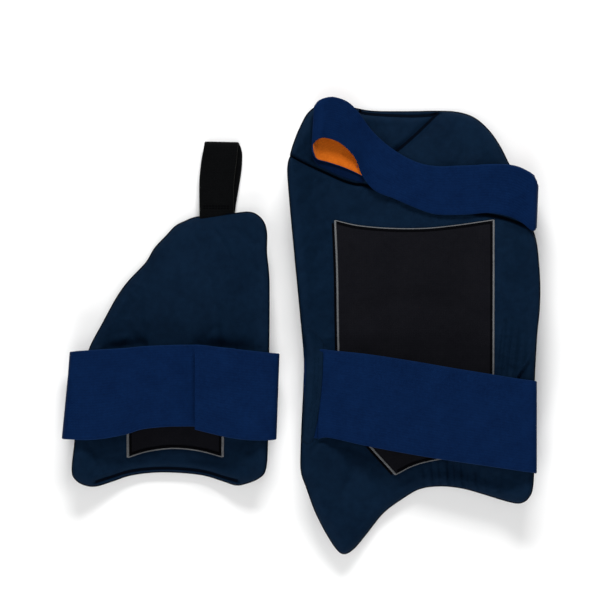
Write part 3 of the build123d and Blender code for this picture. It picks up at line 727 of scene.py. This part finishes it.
# ------------------------------------------------------------------ padded forms
window_line = np.vstack([window_loop, window_loop[:1]])
inner_window_line = np.vstack([inner_window_loop, inner_window_loop[:1]])
outer_thick = outer_top
inner_thick = inner_top
channel_left = curve(outer_at, (32, 4), (32, 50), (32, 80.5))
channel_right = curve(outer_at, (68, 14), (68, 50), (68, 75))
inner_channel_left = curve(inner_at, (34, 0), (34, 84))
inner_channel_right = curve(inner_at, (66, 0), (66, 102))


def folds(points, at, *rows):
    """Folds between two plan points each, with their width and height in mm."""
    return sum(ridge(points, at(*a), at(*b), width * MM, height * MM) for a, b, width, height in rows)


def outer_features(points):
    """Folds and sewn lines on the outer guard's leg side."""
    height = groove(points, window_line, 2.2 * MM, 1.0 * MM)
    for across, top, depth in ((55.0, 19.2, 0.5), (58.2, 20.0, 1.0), (61.0, 20.6, 0.7), (64.4, 21.0, 1.4),
                               (67.0, 20.4, 0.8), (70.0, 20.6, 1.3), (72.2, 20.0, 0.9), (75.6, 19.6, 1.0),
                               (79.5, 18.8, 0.6), (84.0, 18.0, 0.6)):
        height += folds(points, outer_at, ((across, top), (across + 0.5, 13.4), 1.7, -2.9 * depth))
    for across, high, depth in ((84.0, 51.5, 2.0), (86.2, 52.0, 1.5), (88.8, 50.0, 1.8), (92.0, 49.0, 1.1)):
        height += folds(points, outer_at, ((across, 36.5), (across + 3.0, high), 2.2, -1.9 * depth))
    height += folds(points, outer_at,
                    ((97.0, 44.5), (89.0, 37.0), 2.6, 3.4), ((96.0, 42.0), (90.5, 36.5), 2.0, -3.0),
                    ((8.0, 49.8), (14.8, 44.8), 2.2, -2.6), ((6.0, 46.8), (12.8, 43.6), 2.6, 1.2),
                    ((8.6, 22.5), (14.4, 25.6), 2.2, -2.2), ((14.0, 6.0), (24.0, 23.0), 15, 1.6),
                    ((24.0, 3.0), (38.0, 15.0), 6, -0.9), ((12.0, 60.0), (11.0, 78.0), 7, -0.7))
    hollow = curve(outer_at, (27.0, 51.0), (37.0, 54.5), (49.5, 56.0), (61.0, 54.5), (67.0, 51.0))
    return height + groove(points, hollow, 9 * MM, 3.0 * MM)


def outer_back(points):
    """Stitched flex channels on the outer face."""
    height = -groove(points, channel_left, 3.5 * MM, 3.2 * MM)
    return height - groove(points, channel_right, 3.5 * MM, 3.2 * MM)


def hip_features(points):
    height = groove(points, corner_line, 3.0 * MM, 3.4 * MM)
    return height + groove(points, top_line, 3.0 * MM, 3.4 * MM)


def inner_features(points):
    height = groove(points, inner_window_line, 2.2 * MM, 1.0 * MM)
    height += groove(points, inner_lip, 2.4 * MM, 3.6 * MM)
    return height + folds(points, inner_at,
                          ((9.0, 3.0), (14.0, 9.0), 3.4, -1.4), ((6.0, 8.0), (15.0, 13.0), 3.4, -0.8),
                          ((92.0, 3.0), (86.0, 9.0), 3.4, -1.2), ((95.0, 9.0), (88.0, 14.0), 3.4, -0.8),
                          ((22.0, 50.0), (33.0, 56.0), 3.4, -0.8), ((66.0, 53.0), (74.0, 59.0), 3.4, -1.2),
                          ((15.0, 49.5), (38.0, 51.5), 6.0, -4.6), ((60.0, 51.0), (92.0, 49.5), 7.5, -5.6))


def inner_back(points):
    height = -groove(points, inner_channel_left, 3.5 * MM, 2.8 * MM)
    return height - groove(points, inner_channel_right, 3.5 * MM, 2.8 * MM)


outer_pad, hip_pad, inner_pad = (
    padded_form(name, loop, rise, thickness, 10 * MM, 3.5 * MM, [M["cover"], M["cover_back"]], pinched)
    for name, loop, rise, thickness, pinched in (
        ("outer_guard_cover", outer_loop, outer_rise, outer_thick, crease),
        ("hip_flap_cover", hip_loop, outer_rise, outer_thick, crease),
        ("inner_guard_cover", inner_loop, inner_rise, inner_thick, None)))


def holder(loop, top_lines, under_lines, rise):
    """How firmly each point of a pad is held: at its edge, on its seams and where it lies."""
    def held(rest):
        plan = rest[:, :2]
        grip = np.exp(-(distance_to(plan, loop) / (3.0 * MM))**2)
        under = rest[:, 2] < rise(rest[:, 0]) + 4 * MM
        for lines, face in ((top_lines, ~under), (under_lines, under)):
            for line in lines:
                near = np.exp(-(distance_to(plan, line, closed=False) / (3 * MM))**2)
                grip = np.where(face, np.maximum(grip, near), grip)
        grip = np.where(under & (rise(rest[:, 0]) < 1.5 * MM), 1.0, grip)
        return np.clip(grip, 0, 1)
    return held


puff(outer_pad, holder(outer_loop, [window_line], [channel_left, channel_right], outer_rise), 2.2 * MM)
puff(hip_pad, holder(hip_loop, [corner_line, top_line], [], outer_rise), 1.8 * MM)
puff(inner_pad, holder(inner_loop, [inner_window_line, inner_lip],
                       [inner_channel_left, inner_channel_right], inner_rise), 2.2 * MM)


def sewn_marks(obj, loop, rise, thickness, on_top, underneath):
    """One subdivision, applied, then the folds and sewn lines that the cloth shows."""
    modifier = obj.modifiers.new("finer", "SUBSURF")
    modifier.levels = 1
    bpy.context.view_layer.update()
    graph = bpy.context.evaluated_depsgraph_get()
    finer = bpy.data.meshes.new_from_object(obj.evaluated_get(graph))
    obj.modifiers.remove(modifier)
    obj.data = finer
    place = np.array([v.co for v in finer.vertices])
    plan = place[:, :2]
    gap = distance_to(plan, loop)
    fade = np.clip(gap / (2.5 * MM), 0, 1)
    top = place[:, 2] > rise(place[:, 0]) + thickness / 2
    lumps = np.zeros(len(plan))
    for k in range(9):
        angle, size = random.uniform(0, math.pi), random.uniform(26, 70) * MM
        phase = random.uniform(0, 2 * math.pi)
        line = plan[:, 0] * math.cos(angle) + plan[:, 1] * math.sin(angle)
        lumps += 0.11 * MM * np.sin(2 * math.pi * line / size + phase)
    place[top, 2] += (on_top(plan[top]) + lumps[top]) * fade[top]
    if underneath is not None:
        place[~top, 2] += underneath(plan[~top]) * fade[~top]
    place[:, 2] = np.maximum(place[:, 2], 0.2 * MM)
    finer.vertices.foreach_set("co", place.ravel())
    finer.polygons.foreach_set("use_smooth", [True] * len(finer.polygons))
    finer.update()


sewn_marks(outer_pad, outer_loop, outer_rise, outer_thick, outer_features, outer_back)
sewn_marks(hip_pad, hip_loop, outer_rise, outer_thick, hip_features, None)
sewn_marks(inner_pad, inner_loop, inner_rise, inner_thick, inner_features, inner_back)
bolsters = ("impact_bolster_left", "impact_bolster_middle", "impact_bolster_right")
for pad, body, side, fill, nodes in (
        (outer_pad, "outer_guard", "outer_", 0.7, ("comfort_foam", *bolsters)),
        (hip_pad, "hip_flap", "hip_", 0.6, ("foam", "corner_panel")),
        (inner_pad, "inner_guard", "inner_", 0.7, ("comfort_foam", *bolsters))):
    keep(pad, body, "cover", *(side + node for node in ("shell_cover", "leg_cover", "edge_gusset", *nodes)))
outer_tree = tree_of(outer_pad)
hip_tree = tree_of(hip_pad)
inner_tree = tree_of(inner_pad)
on_outer, under_outer = (face_of(outer_tree, outer_rise, top) for top in (outer_top, 0))
on_hip = face_of(hip_tree, outer_rise, outer_top)
on_inner, under_inner = (face_of(inner_tree, inner_rise, top) for top in (inner_top, 0))


# ------------------------------------------------------------------ linings and their seams
def panel(name, loop, surface, material, swell):
    """A thin closed panel that lies on a pad inside its seam."""
    flat, faces = plan_mesh(loop, [1.0 * MM, 2.5 * MM], 5 * MM)
    gap = distance_to(flat, loop)
    lift = 0.25 * MM + swell * (1 - np.exp(-(gap / (9 * MM))**2))
    top = np.array([surface(x, y) for x, y in flat]) + lift
    count = len(flat)
    verts = np.vstack([np.column_stack([flat, top]), np.column_stack([flat, top - 0.9 * MM - lift])])
    rim = [i for i in range(len(loop))]
    both = list(faces) + [tuple(i + count for i in reversed(f)) for f in faces]
    both += [(i, j, j + count, i + count) for i, j in zip(rim, rim[1:] + rim[:1])]
    return link_mesh(name, verts, both, [material])


outer_lining = panel("outer_lining_panel_cloth", window_loop, on_outer, M["lining"], 0.8 * MM)
keep(outer_lining, "outer_guard", "lining", "outer_lining_panel")
inner_lining = panel("inner_lining_panel_cloth", inner_window_loop, on_inner, M["lining"], 0.6 * MM)
keep(inner_lining, "inner_guard", "lining", "inner_lining_panel")


for name, path, width, hem, body, surface, nodes in (
        ("outer_seam_left", window_left, 1.9, 1, "outer_guard", on_outer, ("outer_lining_seam",)),
        ("outer_seam_right", window_right, 1.7, -1, "outer_guard", on_outer, ()),
        ("outer_seam_top", window_top, 0.9, -1, "outer_guard", on_outer, ()),
        ("outer_seam_cut", window_cut, 2.1, 1, "outer_guard", on_outer, ()),
        ("outer_seam_low", window_low, 1.1, -1, "outer_guard", on_outer, ()),
        ("inner_seam_left", inner_window_left, 2.3, 1, "inner_guard", on_inner, ("inner_lining_seam",)),
        ("inner_seam_right", inner_window_right, 2.3, 1, "inner_guard", on_inner, ()),
        ("inner_seam_low", inner_window_low, 1.2, 1, "inner_guard", on_inner, ()),
        ("inner_seam_top", inner_window_top, 1.2, 1, "inner_guard", on_inner, ())):
    strip = flat_strip(name, path, width * MM, 0.7 * MM, [M["seam"]],
                       lambda x, y, s=surface: s(x, y) + 0.4 * MM)
    keep(strip, body, "seam", *nodes)
    # a hem strip inside each seam, darker than the lining: a real hem with painted shade of its fold
    left, path = left_of(path)
    inside_path = (path + left * hem * (width / 2 + 1.3) * MM)[1:-1]
    strip = flat_strip(name + "_hem", inside_path, 2.0 * MM, 0.25 * MM, [M["hem"]],
                       lambda x, y, s=surface: s(x, y) + 0.75 * MM)
    keep(strip, body, "lining")

# ------------------------------------------------------------------ small makers for the straps
def cord_mesh(name, points, radius, material, closed=False, sides=6):
    """A thin round thread or seam along 3D points."""
    pts = np.array(points, float)
    tangent = (np.roll(pts, -1, 0) - np.roll(pts, 1, 0)) if closed else np.gradient(pts, axis=0)
    verts = []
    for p, t in zip(pts, tangent):
        direction = Vector(t).normalized()
        across = direction.cross(Vector((0, 0, 1)))
        across = across.normalized() if across.length > 1e-6 else Vector((1, 0, 0))
        up = across.cross(direction)
        for k in range(sides):
            angle = 2 * math.pi * k / sides
            verts.append(Vector(p) + (across * math.cos(angle) + up * math.sin(angle)) * radius)
    return link_mesh(name, verts, loft(len(pts), sides, closed), [material])


def slab(name, loop, top, thickness, material, grid=4 * MM, edge=1.2 * MM):
    """A thin closed patch with rounded edges; top gives its upper height over the plan."""
    flat, faces = plan_mesh(loop, [0.4 * MM, 1.2 * MM], grid)
    gap = distance_to(flat, loop)
    half = thickness / 2 * rounded(gap, edge)
    centre = np.array([top(x, y) for x, y in flat]) - thickness / 2
    return closed_form(name, flat, faces, centre + half, centre - half, gap < 1e-6, [material])


def straight(*points):
    """Plan path of straight runs, sampled evenly."""
    out = []
    for a, b in zip(points, points[1:]):
        a, b = np.array(a, float), np.array(b, float)
        n = max(1, int(np.linalg.norm(b - a) / STEP))
        out += [a + (b - a) * k / n for k in range(n)]
    out.append(np.array(points[-1], float))
    return np.array(out)


def ring(*points):
    """Closed plan outline of straight runs."""
    return straight(*points, points[0])[:-1]


# ------------------------------------------------------------------ seams round the pads
def rim_seam(name, loop, rise, thickness, body):
    points = [(x, y, float(rise(x)) + thickness / 2) for x, y in loop]
    keep(cord_mesh(name, points, 0.9 * MM, M["thread"], closed=True), body, "thread")


rim_seam("outer_rim_seam", outer_loop, outer_rise, outer_thick, "outer_guard")
rim_seam("hip_rim_seam", hip_loop, outer_rise, outer_thick, "hip_flap")
rim_seam("inner_rim_seam", inner_loop, inner_rise, inner_thick, "inner_guard")

for name, path, body, surface, nodes in (
        ("hip_corner_seam", corner_line, "hip_flap", on_hip, ("hip_seam_stitching",)),
        ("hip_top_seam", top_line, "hip_flap", on_hip, ()),
        ("inner_lip_seam", inner_lip, "inner_guard", on_inner, ())):
    strip = flat_strip(name, path, 2.6 * MM, 0.5 * MM, [M["thread"]],
                       lambda x, y, s=surface: s(x, y) + 0.1 * MM)
    keep(strip, body, "thread", *nodes)

for name, path, outline, body, surface in (
        ("outer_channel_left", channel_left, outer_loop, "outer_guard", under_outer),
        ("outer_channel_right", channel_right, outer_loop, "outer_guard", under_outer),
        ("inner_channel_left", inner_channel_left, inner_loop, "inner_guard", under_inner),
        ("inner_channel_right", inner_channel_right, inner_loop, "inner_guard", under_inner)):
    covered = inside(path, outline) & (distance_to(path, outline) > 8 * MM)
    keep(stitches(name, path[covered], surface, M["thread_blue"], side=-1), body, "thread")

# the cloth that carries the hip flap at its flex line, in near-black thread colour: painted shade of the
# crease's valley
web = flat_strip("hip_flex_web_painted_shade", (crease[3:-3] + crease_up[3:-3]) / 2, 7.0 * MM, 1.0 * MM, [M["thread"]],
                 lambda x, y: float(outer_rise(x)) + 0.62 * outer_thick)
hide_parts("hip_flex_tape")
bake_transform(web)

# ------------------------------------------------------------------ outer thigh strap
tab_box_low, tab_box_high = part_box("thigh_strap_tab")
strap_ply = 2.0 * MM
side_out = tab_box_high.x - 4.3 * MM
strap_left_x, strap_right_x = outer_at(11.5, 0)[0], outer_at(97.6, 0)[0]


def span_z(x):
    """Height of the outer thigh strap's middle where it bridges the trough."""
    low = outer_top + float(outer_rise(strap_left_x)) + 1.7 * MM
    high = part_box("thigh_strap")[1].z - 1.2 * MM
    share = (x - strap_left_x) / (strap_right_x - strap_left_x)
    return low + (high - low) * share - 1.2 * MM * math.sin(math.pi * min(max(share, 0), 1))


def edges_at(at, height, *rows):
    """Both edges of a strap, from rows of a low and a high plan place and a third value for height."""
    low_edge, high_edge = [], []
    for low, high, value in rows:
        for edge, (x, y) in ((low_edge, at(*low)), (high_edge, at(*high))):
            edge.append((x, y, height(x, value)))
    return low_edge, high_edge


def level(across, low, high, value=0.0):
    """A row for edges_at whose two places lie at one distance across."""
    return (across, low), (across, high), value


def station(edges, low, high):
    edges[0].append(low)
    edges[1].append(high)


edges = edges_at(outer_at, lambda x, _: span_z(x),
                 *(level(*row) for row in (
                     (12.0, 25.2, 44.8), (14.0, 25.6, 44.9), (18.0, 25.4, 44.6), (32.0, 23.7, 43.8),
                     (50.0, 21.9, 42.3), (65.0, 20.6, 40.9), (82.0, 19.3, 39.4), (92.0, 18.5, 38.5),
                     (97.0, 18.15, 38.15))))
strap_end_z = span_z(strap_right_x)
low_y, high_y = outer_at(0, 17.95)[1], outer_at(0, 37.95)[1]
for x, drop in ((side_out - 0.5 * MM, 1.6 * MM), (side_out, 6 * MM), (side_out, 13 * MM)):
    station(edges, (x, low_y, strap_end_z - drop), (x, high_y, strap_end_z - drop))
tab_gap = 3.4 * MM
for x, fall in ((side_out - 5 * MM, 0.8), (side_out - 16 * MM, 2.4), (side_out - 30 * MM, 4.5),
                (tab_box_low.x + 1 * MM, 7.8)):
    z = float(outer_rise(x)) - tab_gap
    station(edges, (x, low_y - fall * MM, z), (x, high_y - fall * MM, z))
# the second elastic, on the strap edges and ends, is a painted highlight
elastics = [M["elastic"], M["elastic_edge_highlight"]]
thigh = ribbon("thigh_strap_elastic", edges, strap_ply, elastics, rows=14)
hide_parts("thigh_strap", "thigh_strap_tab")
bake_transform(thigh)

# its root, and the facing that covers the root
edges = [], []
for across, low, high in ((6.6, 25.6, 44.6), (9.0, 25.6, 44.8), (11.6, 25.4, 44.8)):
    (x, y), (_, y_high) = outer_at(across, low), outer_at(across, high)
    z = on_outer(x, (y + y_high) / 2) + 1.2 * MM
    station(edges, (x, y, z), (x, y_high, z))
root = ribbon("thigh_strap_root_end", edges, strap_ply, elastics)
keep(root, "outer_guard", "elastic", "thigh_strap_root")


def facing_top(x, y):
    """The facing climbs over the strap's root and dies out at both ends."""
    low, high = outer_at(0, 25.4)[1], outer_at(0, 44.8)[1]
    over = 1 / (1 + math.exp(-(y - low) / (1.6 * MM))) / (1 + math.exp((y - high) / (1.6 * MM)))
    base = on_outer(x, y) + 0.7 * MM
    raised = max(base + 2.9 * MM, span_z(x) + 2.7 * MM)
    return base + (raised - base) * over


facing_loop = np.vstack([
    curve(outer_at, (6.3, 48.0), (9.8, 48.2), (13.6, 46.3), (14.0, 44.0), (13.6, 38.0), (12.2, 31.0),
          (10.8, 27.0), (9.6, 24.8), (7.6, 24.0)),
    curve(outer_at, (5.9, 24.6), (6.4, 32.0), (6.9, 40.0), (6.0, 46.8))])
facing = slab("thigh_strap_facing_fold", facing_loop, facing_top, 1.5 * MM, M["cover"], 3 * MM)
keep(facing, "outer_guard", "cover", "thigh_strap_facing")
for number, shift in enumerate((0.0, 1.5)):
    row = curve(outer_at, (12.2 - shift, 43.6), (11.6 - shift, 37.0), (10.4 - shift, 31.0),
                (9.2 - shift, 27.0))
    nodes = ("thigh_strap_stitching",) if number == 0 else ()
    keep(stitches(f"thigh_root_stitches_{number}", row, facing_top, M["thread_teal"]), "outer_guard",
         "thread", *nodes)


def patch(name, node, hook, body, margin=1.0 * MM, skew=0.0):
    """Hook or landing patch under the outer guard, in the place of its CAD node."""
    top, thickness, material = (-1.3, 1.2, M["hook"]) if hook else (0.4, 1.4, M["pile"])
    low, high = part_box(node)
    drop = skew * (high.x - low.x)
    left, right = low.x + margin, high.x - margin
    bottom, upper = low.y + margin, high.y - margin
    loop = ring((left, bottom + max(drop, 0)), (right, bottom + max(-drop, 0)),
                (right, upper - max(drop, 0)), (left, upper - max(-drop, 0)))
    piece = slab(name, loop, lambda x, y: float(outer_rise(x)) + top * MM, thickness * MM, material,
                 5 * MM, 0.5 * MM)
    keep(piece, body, "hook_and_loop", node)


patch("thigh_landing_pile", "thigh_strap_landing_patch", False, "outer_guard")
patch("thigh_hook_tape", "thigh_strap_hook_patch", True, "thigh_tab", margin=4 * MM)

# ------------------------------------------------------------------ waist strap
roll_top_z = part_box("waist_strap")[1].z - 4.4 * MM
waist_over = outer_top + 3.3 * MM
side_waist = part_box("waist_strap_tab")[1].x - 1.2 * MM


def waist_z(x, extra=0.0):
    return waist_over + float(outer_rise(x)) + extra * MM


fold_z = waist_z(outer_at(10.5, 0)[0], 3.0)
runs = (
    # sewn layer under the roll, from its hidden end to the fold on the left
    edges_at(outer_at, lambda x, lift: waist_z(x, lift - 0.4),
             ((29.6, 82.7), (29.2, 93.5), 0.0), ((26.5, 83.5), (26.0, 95.5), 0.3),
             ((21.5, 84.6), (21.5, 97.0), 0.6), ((15.5, 85.6), (16.0, 97.6), 1.2),
             ((11.6, 86.1), (12.2, 97.9), 2.4)),
    # round the fold, where the strap turns back over itself
    edges_at(outer_at, lambda x, z: z,
             ((10.3, 87.0), (11.0, 97.6), fold_z + 1.5 * MM), ((9.6, 88.4), (10.7, 97.8), fold_z + 6 * MM),
             ((10.3, 89.7), (11.5, 98.6), roll_top_z - 2.2 * MM),
             ((12.4, 90.6), (13.6, 99.3), roll_top_z - 0.2 * MM)),
    # the front run, down the roll and across the flap
    edges_at(outer_at, waist_z,
             ((15.0, 90.8), (17.6, 99.8), 13.6), ((20.0, 90.0), (22.3, 99.2), 11.6),
             ((24.6, 88.0), (25.6, 98.1), 8.6), ((27.6, 85.8), (29.2, 95.9), 5.8),
             ((29.8, 82.6), (33.4, 92.8), 3.2), ((34.8, 79.5), (39.0, 89.9), 1.2),
             ((42.4, 77.8), (46.2, 87.2), 0.3), ((50.0, 76.0), (53.3, 85.5), 0.0),
             ((57.6, 74.5), (60.4, 84.9), 0.0), ((64.2, 74.2), (66.6, 85.0), 0.0),
             ((72.5, 74.3), (73.8, 85.1), 0.0), ((80.0, 74.6), (80.6, 85.3), 0.0),
             ((87.6, 73.9), (86.6, 85.2), 0.0), ((92.8, 72.5), (91.0, 84.8), 0.0),
             ((96.4, 70.8), (94.6, 83.9), -0.6)))
edges = [sum((run[side] for run in runs), []) for side in (0, 1)]
waist_end_z = waist_z(outer_at(98.0, 0)[0])
for inset_low, inset_high, low, high, drop in ((3.6, 3.2, 70.6, 82.6, 2.0), (2.4, 0.6, 70.9, 80.6, 6.5),
                                               (1.2, 0.0, 71.6, 80.9, 13.0)):
    station(edges, (side_waist - inset_low * MM, outer_at(0, low)[1], waist_end_z - drop * MM),
            (side_waist - inset_high * MM, outer_at(0, high)[1], waist_end_z - drop * MM))
tab_slope = -0.266
for back in (5, 16, 30, 50):
    x = side_waist - back * MM
    low_y = outer_at(0, 72.2)[1] - tab_slope * back * MM
    z = float(outer_rise(x)) - tab_gap
    station(edges, (x, low_y, z), (x, low_y + 45.5 * MM, z))
waist = ribbon("waist_strap_elastic", edges, strap_ply, [*elastics, M["orange"]], rows=12, inner_material=2)
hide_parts("waist_strap", "waist_strap_tab", "waist_strap_lining")
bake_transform(waist)

# the blue layer that the roll is sewn to, in a darker copy of the elastic: painted shade under the roll
edges = edges_at(outer_at, waist_z,
                 ((9.4, 86.6), (10.0, 96.0), -2.2), ((12.0, 84.9), (12.4, 96.8), -2.2),
                 ((16.0, 83.8), (17.0, 97.0), -2.2), ((21.0, 82.6), (22.0, 96.6), -2.2),
                 ((25.6, 81.8), (26.5, 95.0), -2.2), ((29.6, 81.3), (30.0, 93.0), -2.2),
                 ((31.0, 81.7), (31.2, 91.0), -2.2))
layer = ribbon("waist_strap_root_layer", edges, 1.4 * MM, [M["elastic_painted_shade"], M["elastic_painted_shade"]])
keep(layer, "hip_flap", "elastic", "waist_strap_root")
for number, across in enumerate((27.6, 29.2)):
    row = straight(outer_at(across, 84.2), outer_at(across, 93.0))
    nodes = ("waist_strap_stitching",) if number == 0 else ()
    keep(stitches(f"waist_root_stitches_{number}", row, lambda x, y: waist_z(x, 0.8), M["thread_blue"]),
         "hip_flap", "thread", *nodes)
patch("waist_landing_pile", "waist_strap_landing_patch", False, "hip_flap", margin=3 * MM, skew=0.26)
patch("waist_hook_tape", "waist_strap_hook_patch", True, "waist_tab", margin=3 * MM, skew=0.26)

# ------------------------------------------------------------------ inner strap, in two halves
left_box_low, left_box_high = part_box("inner_strap_left")
side_top = left_box_high.z - 1.1 * MM
left_mid_z = left_box_low.z + 1.1 * MM
right_mid_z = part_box("inner_strap_right")[1].z - 1.1 * MM


def half_strap(name, sign, sewn_x, wrap_places, span_places):
    """One half: sewn to the outer face, round the guard's side, and over to the middle.

    It is one run of elastic, cut where the span starts to move.
    """
    edges = [], []
    edge_x = inner_low.x if sign < 0 else inner_high.x
    (_, y), (_, y_high) = inner_at(0, wrap_places[0][2]), inner_at(0, wrap_places[0][3])
    steps = 5
    for k in range(steps + 1):
        x = sewn_x + (edge_x - sewn_x) * k / steps
        z = float(inner_rise(x)) - 1.3 * MM
        station(edges, (x, y, z), (x, y_high, z))
    for across_low, across_high, low, high, z in wrap_places:
        station(edges, (*inner_at(across_low, low), z), (*inner_at(across_high, high), z))
    cut = len(edges[0]) - 1
    for across, low, high, z in span_places:
        station(edges, (*inner_at(across, low), z), (*inner_at(across, high), z))
    if sign < 0:
        edges = edges[::-1]
    end = ribbon(name + "_wrap", edges, strap_ply, elastics, rows=14, part=(0, cut))
    keep(end, "inner_guard", "elastic", name + "_end")
    span = ribbon(name + "_span", edges, strap_ply, elastics, rows=14, part=(cut, len(edges[0]) - 1))
    keep(span, name, "elastic", name)
    for number, back in enumerate((3 * MM, 7 * MM)):
        x = sewn_x + sign * back
        row = straight((x, y + 4 * MM), (x, y_high - 4 * MM))
        tacked = (name + "_end_stitching",) if number == 0 else ()
        keep(stitches(f"{name}_stitches_{number}", row, lambda x, y: float(inner_rise(x)) - 2.4 * MM,
                      M["thread_blue"], side=-1), "inner_guard", "thread", *tacked)


face_side_z = float(inner_rise(inner_low.x)) - 1.3 * MM
side_mid = (side_top + face_side_z) / 2
half_strap("inner_strap_left", -1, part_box("inner_strap_left_end")[1].x,
           ((-3.6, -1.2, 17.2, 49.0, face_side_z + 1.2 * MM), (-4.7, -0.8, 17.2, 49.0, face_side_z + 6 * MM),
            (-4.9, -0.6, 17.2, 49.0, side_mid), (-4.7, -0.5, 17.2, 49.0, side_top - 4.5 * MM),
            (-3.2, 0.2, 17.2, 49.1, side_top - 0.6 * MM), (0.2, 2.2, 17.1, 49.3, side_top)),
           ((6.0, 16.9, 49.5, side_top - 0.3 * MM), (15.0, 17.3, 49.9, side_top - 0.8 * MM),
            (27.0, 18.9, 50.4, left_mid_z + 1.8 * MM), (35.0, 20.7, 51.0, left_mid_z + 1.2 * MM),
            (42.0, 21.4, 51.3, left_mid_z + 1.2 * MM), (50.0, 21.8, 51.5, left_mid_z + 0.6 * MM),
            (55.0, 21.8, 51.6, left_mid_z - 1.0 * MM), (60.0, 21.8, 51.6, left_mid_z - 2.8 * MM),
            (66.0, 21.6, 51.5, left_mid_z - 3.0 * MM), (74.0, 21.0, 50.8, left_mid_z - 2.4 * MM),
            (83.0, 20.4, 50.2, left_mid_z - 1.4 * MM)))
half_strap("inner_strap_right", 1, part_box("inner_strap_right_end")[0].x,
           ((102.0, 103.4, 17.0, 48.4, face_side_z + 1.2 * MM),
            (103.2, 104.7, 17.0, 48.4, face_side_z + 6 * MM), (103.4, 105.0, 17.0, 48.4, side_mid),
            (103.3, 104.8, 17.0, 48.4, side_top - 4.5 * MM), (102.2, 103.6, 16.9, 48.5, side_top - 0.6 * MM),
            (98.8, 99.2, 16.8, 48.8, side_top + 0.1 * MM)),
           ((94.0, 16.8, 49.2, side_top + 0.4 * MM), (88.0, 17.0, 49.7, right_mid_z - 1.2 * MM),
            (80.0, 17.8, 50.3, right_mid_z - 0.2 * MM), (73.0, 18.9, 50.9, right_mid_z + 0.2 * MM),
            (67.0, 20.0, 51.5, right_mid_z + 0.8 * MM), (64.6, 20.4, 51.6, right_mid_z + 0.9 * MM),
            (62.6, 20.8, 51.7, right_mid_z + 0.3 * MM)))

for name, node, z, body, material in (
        ("inner_loop_pile", "loop_patch", left_mid_z - 0.6 * MM, "inner_strap_left", M["pile"]),
        ("inner_hook_tape", "hook_patch", right_mid_z - 1.0 * MM, "inner_strap_right", M["hook"])):
    low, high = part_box("inner_strap_" + node)
    left, right = low.x + 1 * MM, high.x - 1 * MM
    loop = ring((left, inner_at(0, 23.6)[1]), (right, inner_at(0, 22.8)[1]),
                (right, inner_at(0, 49.0)[1]), (left, inner_at(0, 49.2)[1]))
    keep(slab(name, loop, lambda x, y, z=z: z, 1.0 * MM, material, 5 * MM, 0.5 * MM), body,
         "hook_and_loop", "inner_strap_" + node)

# ------------------------------------------------------------------ webbing loop
loop_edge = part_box("webbing_loop_anchor")[0].y
edges = [], []
for y, left, right, z in ((-4.0, 64.6, 82.0, 10.0), (2.0, 64.4, 82.0, 11.3), (14.0, 64.3, 81.9, 11.6),
                          (34.0, 64.3, 82.2, 11.6), (52.0, 65.2, 83.4, 11.5), (64.0, 66.4, 84.0, 11.2),
                          (69.0, 66.8, 84.3, 9.8), (71.0, 67.0, 84.5, 7.6), (69.0, 67.6, 85.0, 5.4),
                          (62.0, 67.8, 86.2, 4.4), (48.0, 67.2, 86.0, 4.1), (32.0, 66.2, 84.8, 4.1),
                          (12.0, 65.4, 83.0, 4.3), (2.0, 65.0, 82.4, 4.6), (-4.0, 65.0, 82.2, 6.0)):
    station(edges, (inner_at(right, 0)[0], loop_edge + y * MM, z * MM),
            (inner_at(left, 0)[0], loop_edge + (y + (0.6 if y > 0 else 0)) * MM, z * MM))
loop = ribbon("webbing_belt_loop", edges, 1.5 * MM, [M["webbing"], M["webbing"]], rows=8)
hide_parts("webbing_loop", "webbing_loop_anchor")
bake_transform(loop)
for number, y in enumerate((8.5, 10.6)):
    row = straight((inner_at(66.0, 0)[0], loop_edge + y * MM), (inner_at(80.4, 0)[0], loop_edge + y * MM))
    nodes = ("webbing_loop_stitching",) if number == 0 else ()
    keep(stitches(f"webbing_bar_tack_{number}", row, lambda x, y: 12.5 * MM, M["hem"], length=2.2 * MM,
                  gap=0.6 * MM), "webbing_loop", "thread", *nodes)
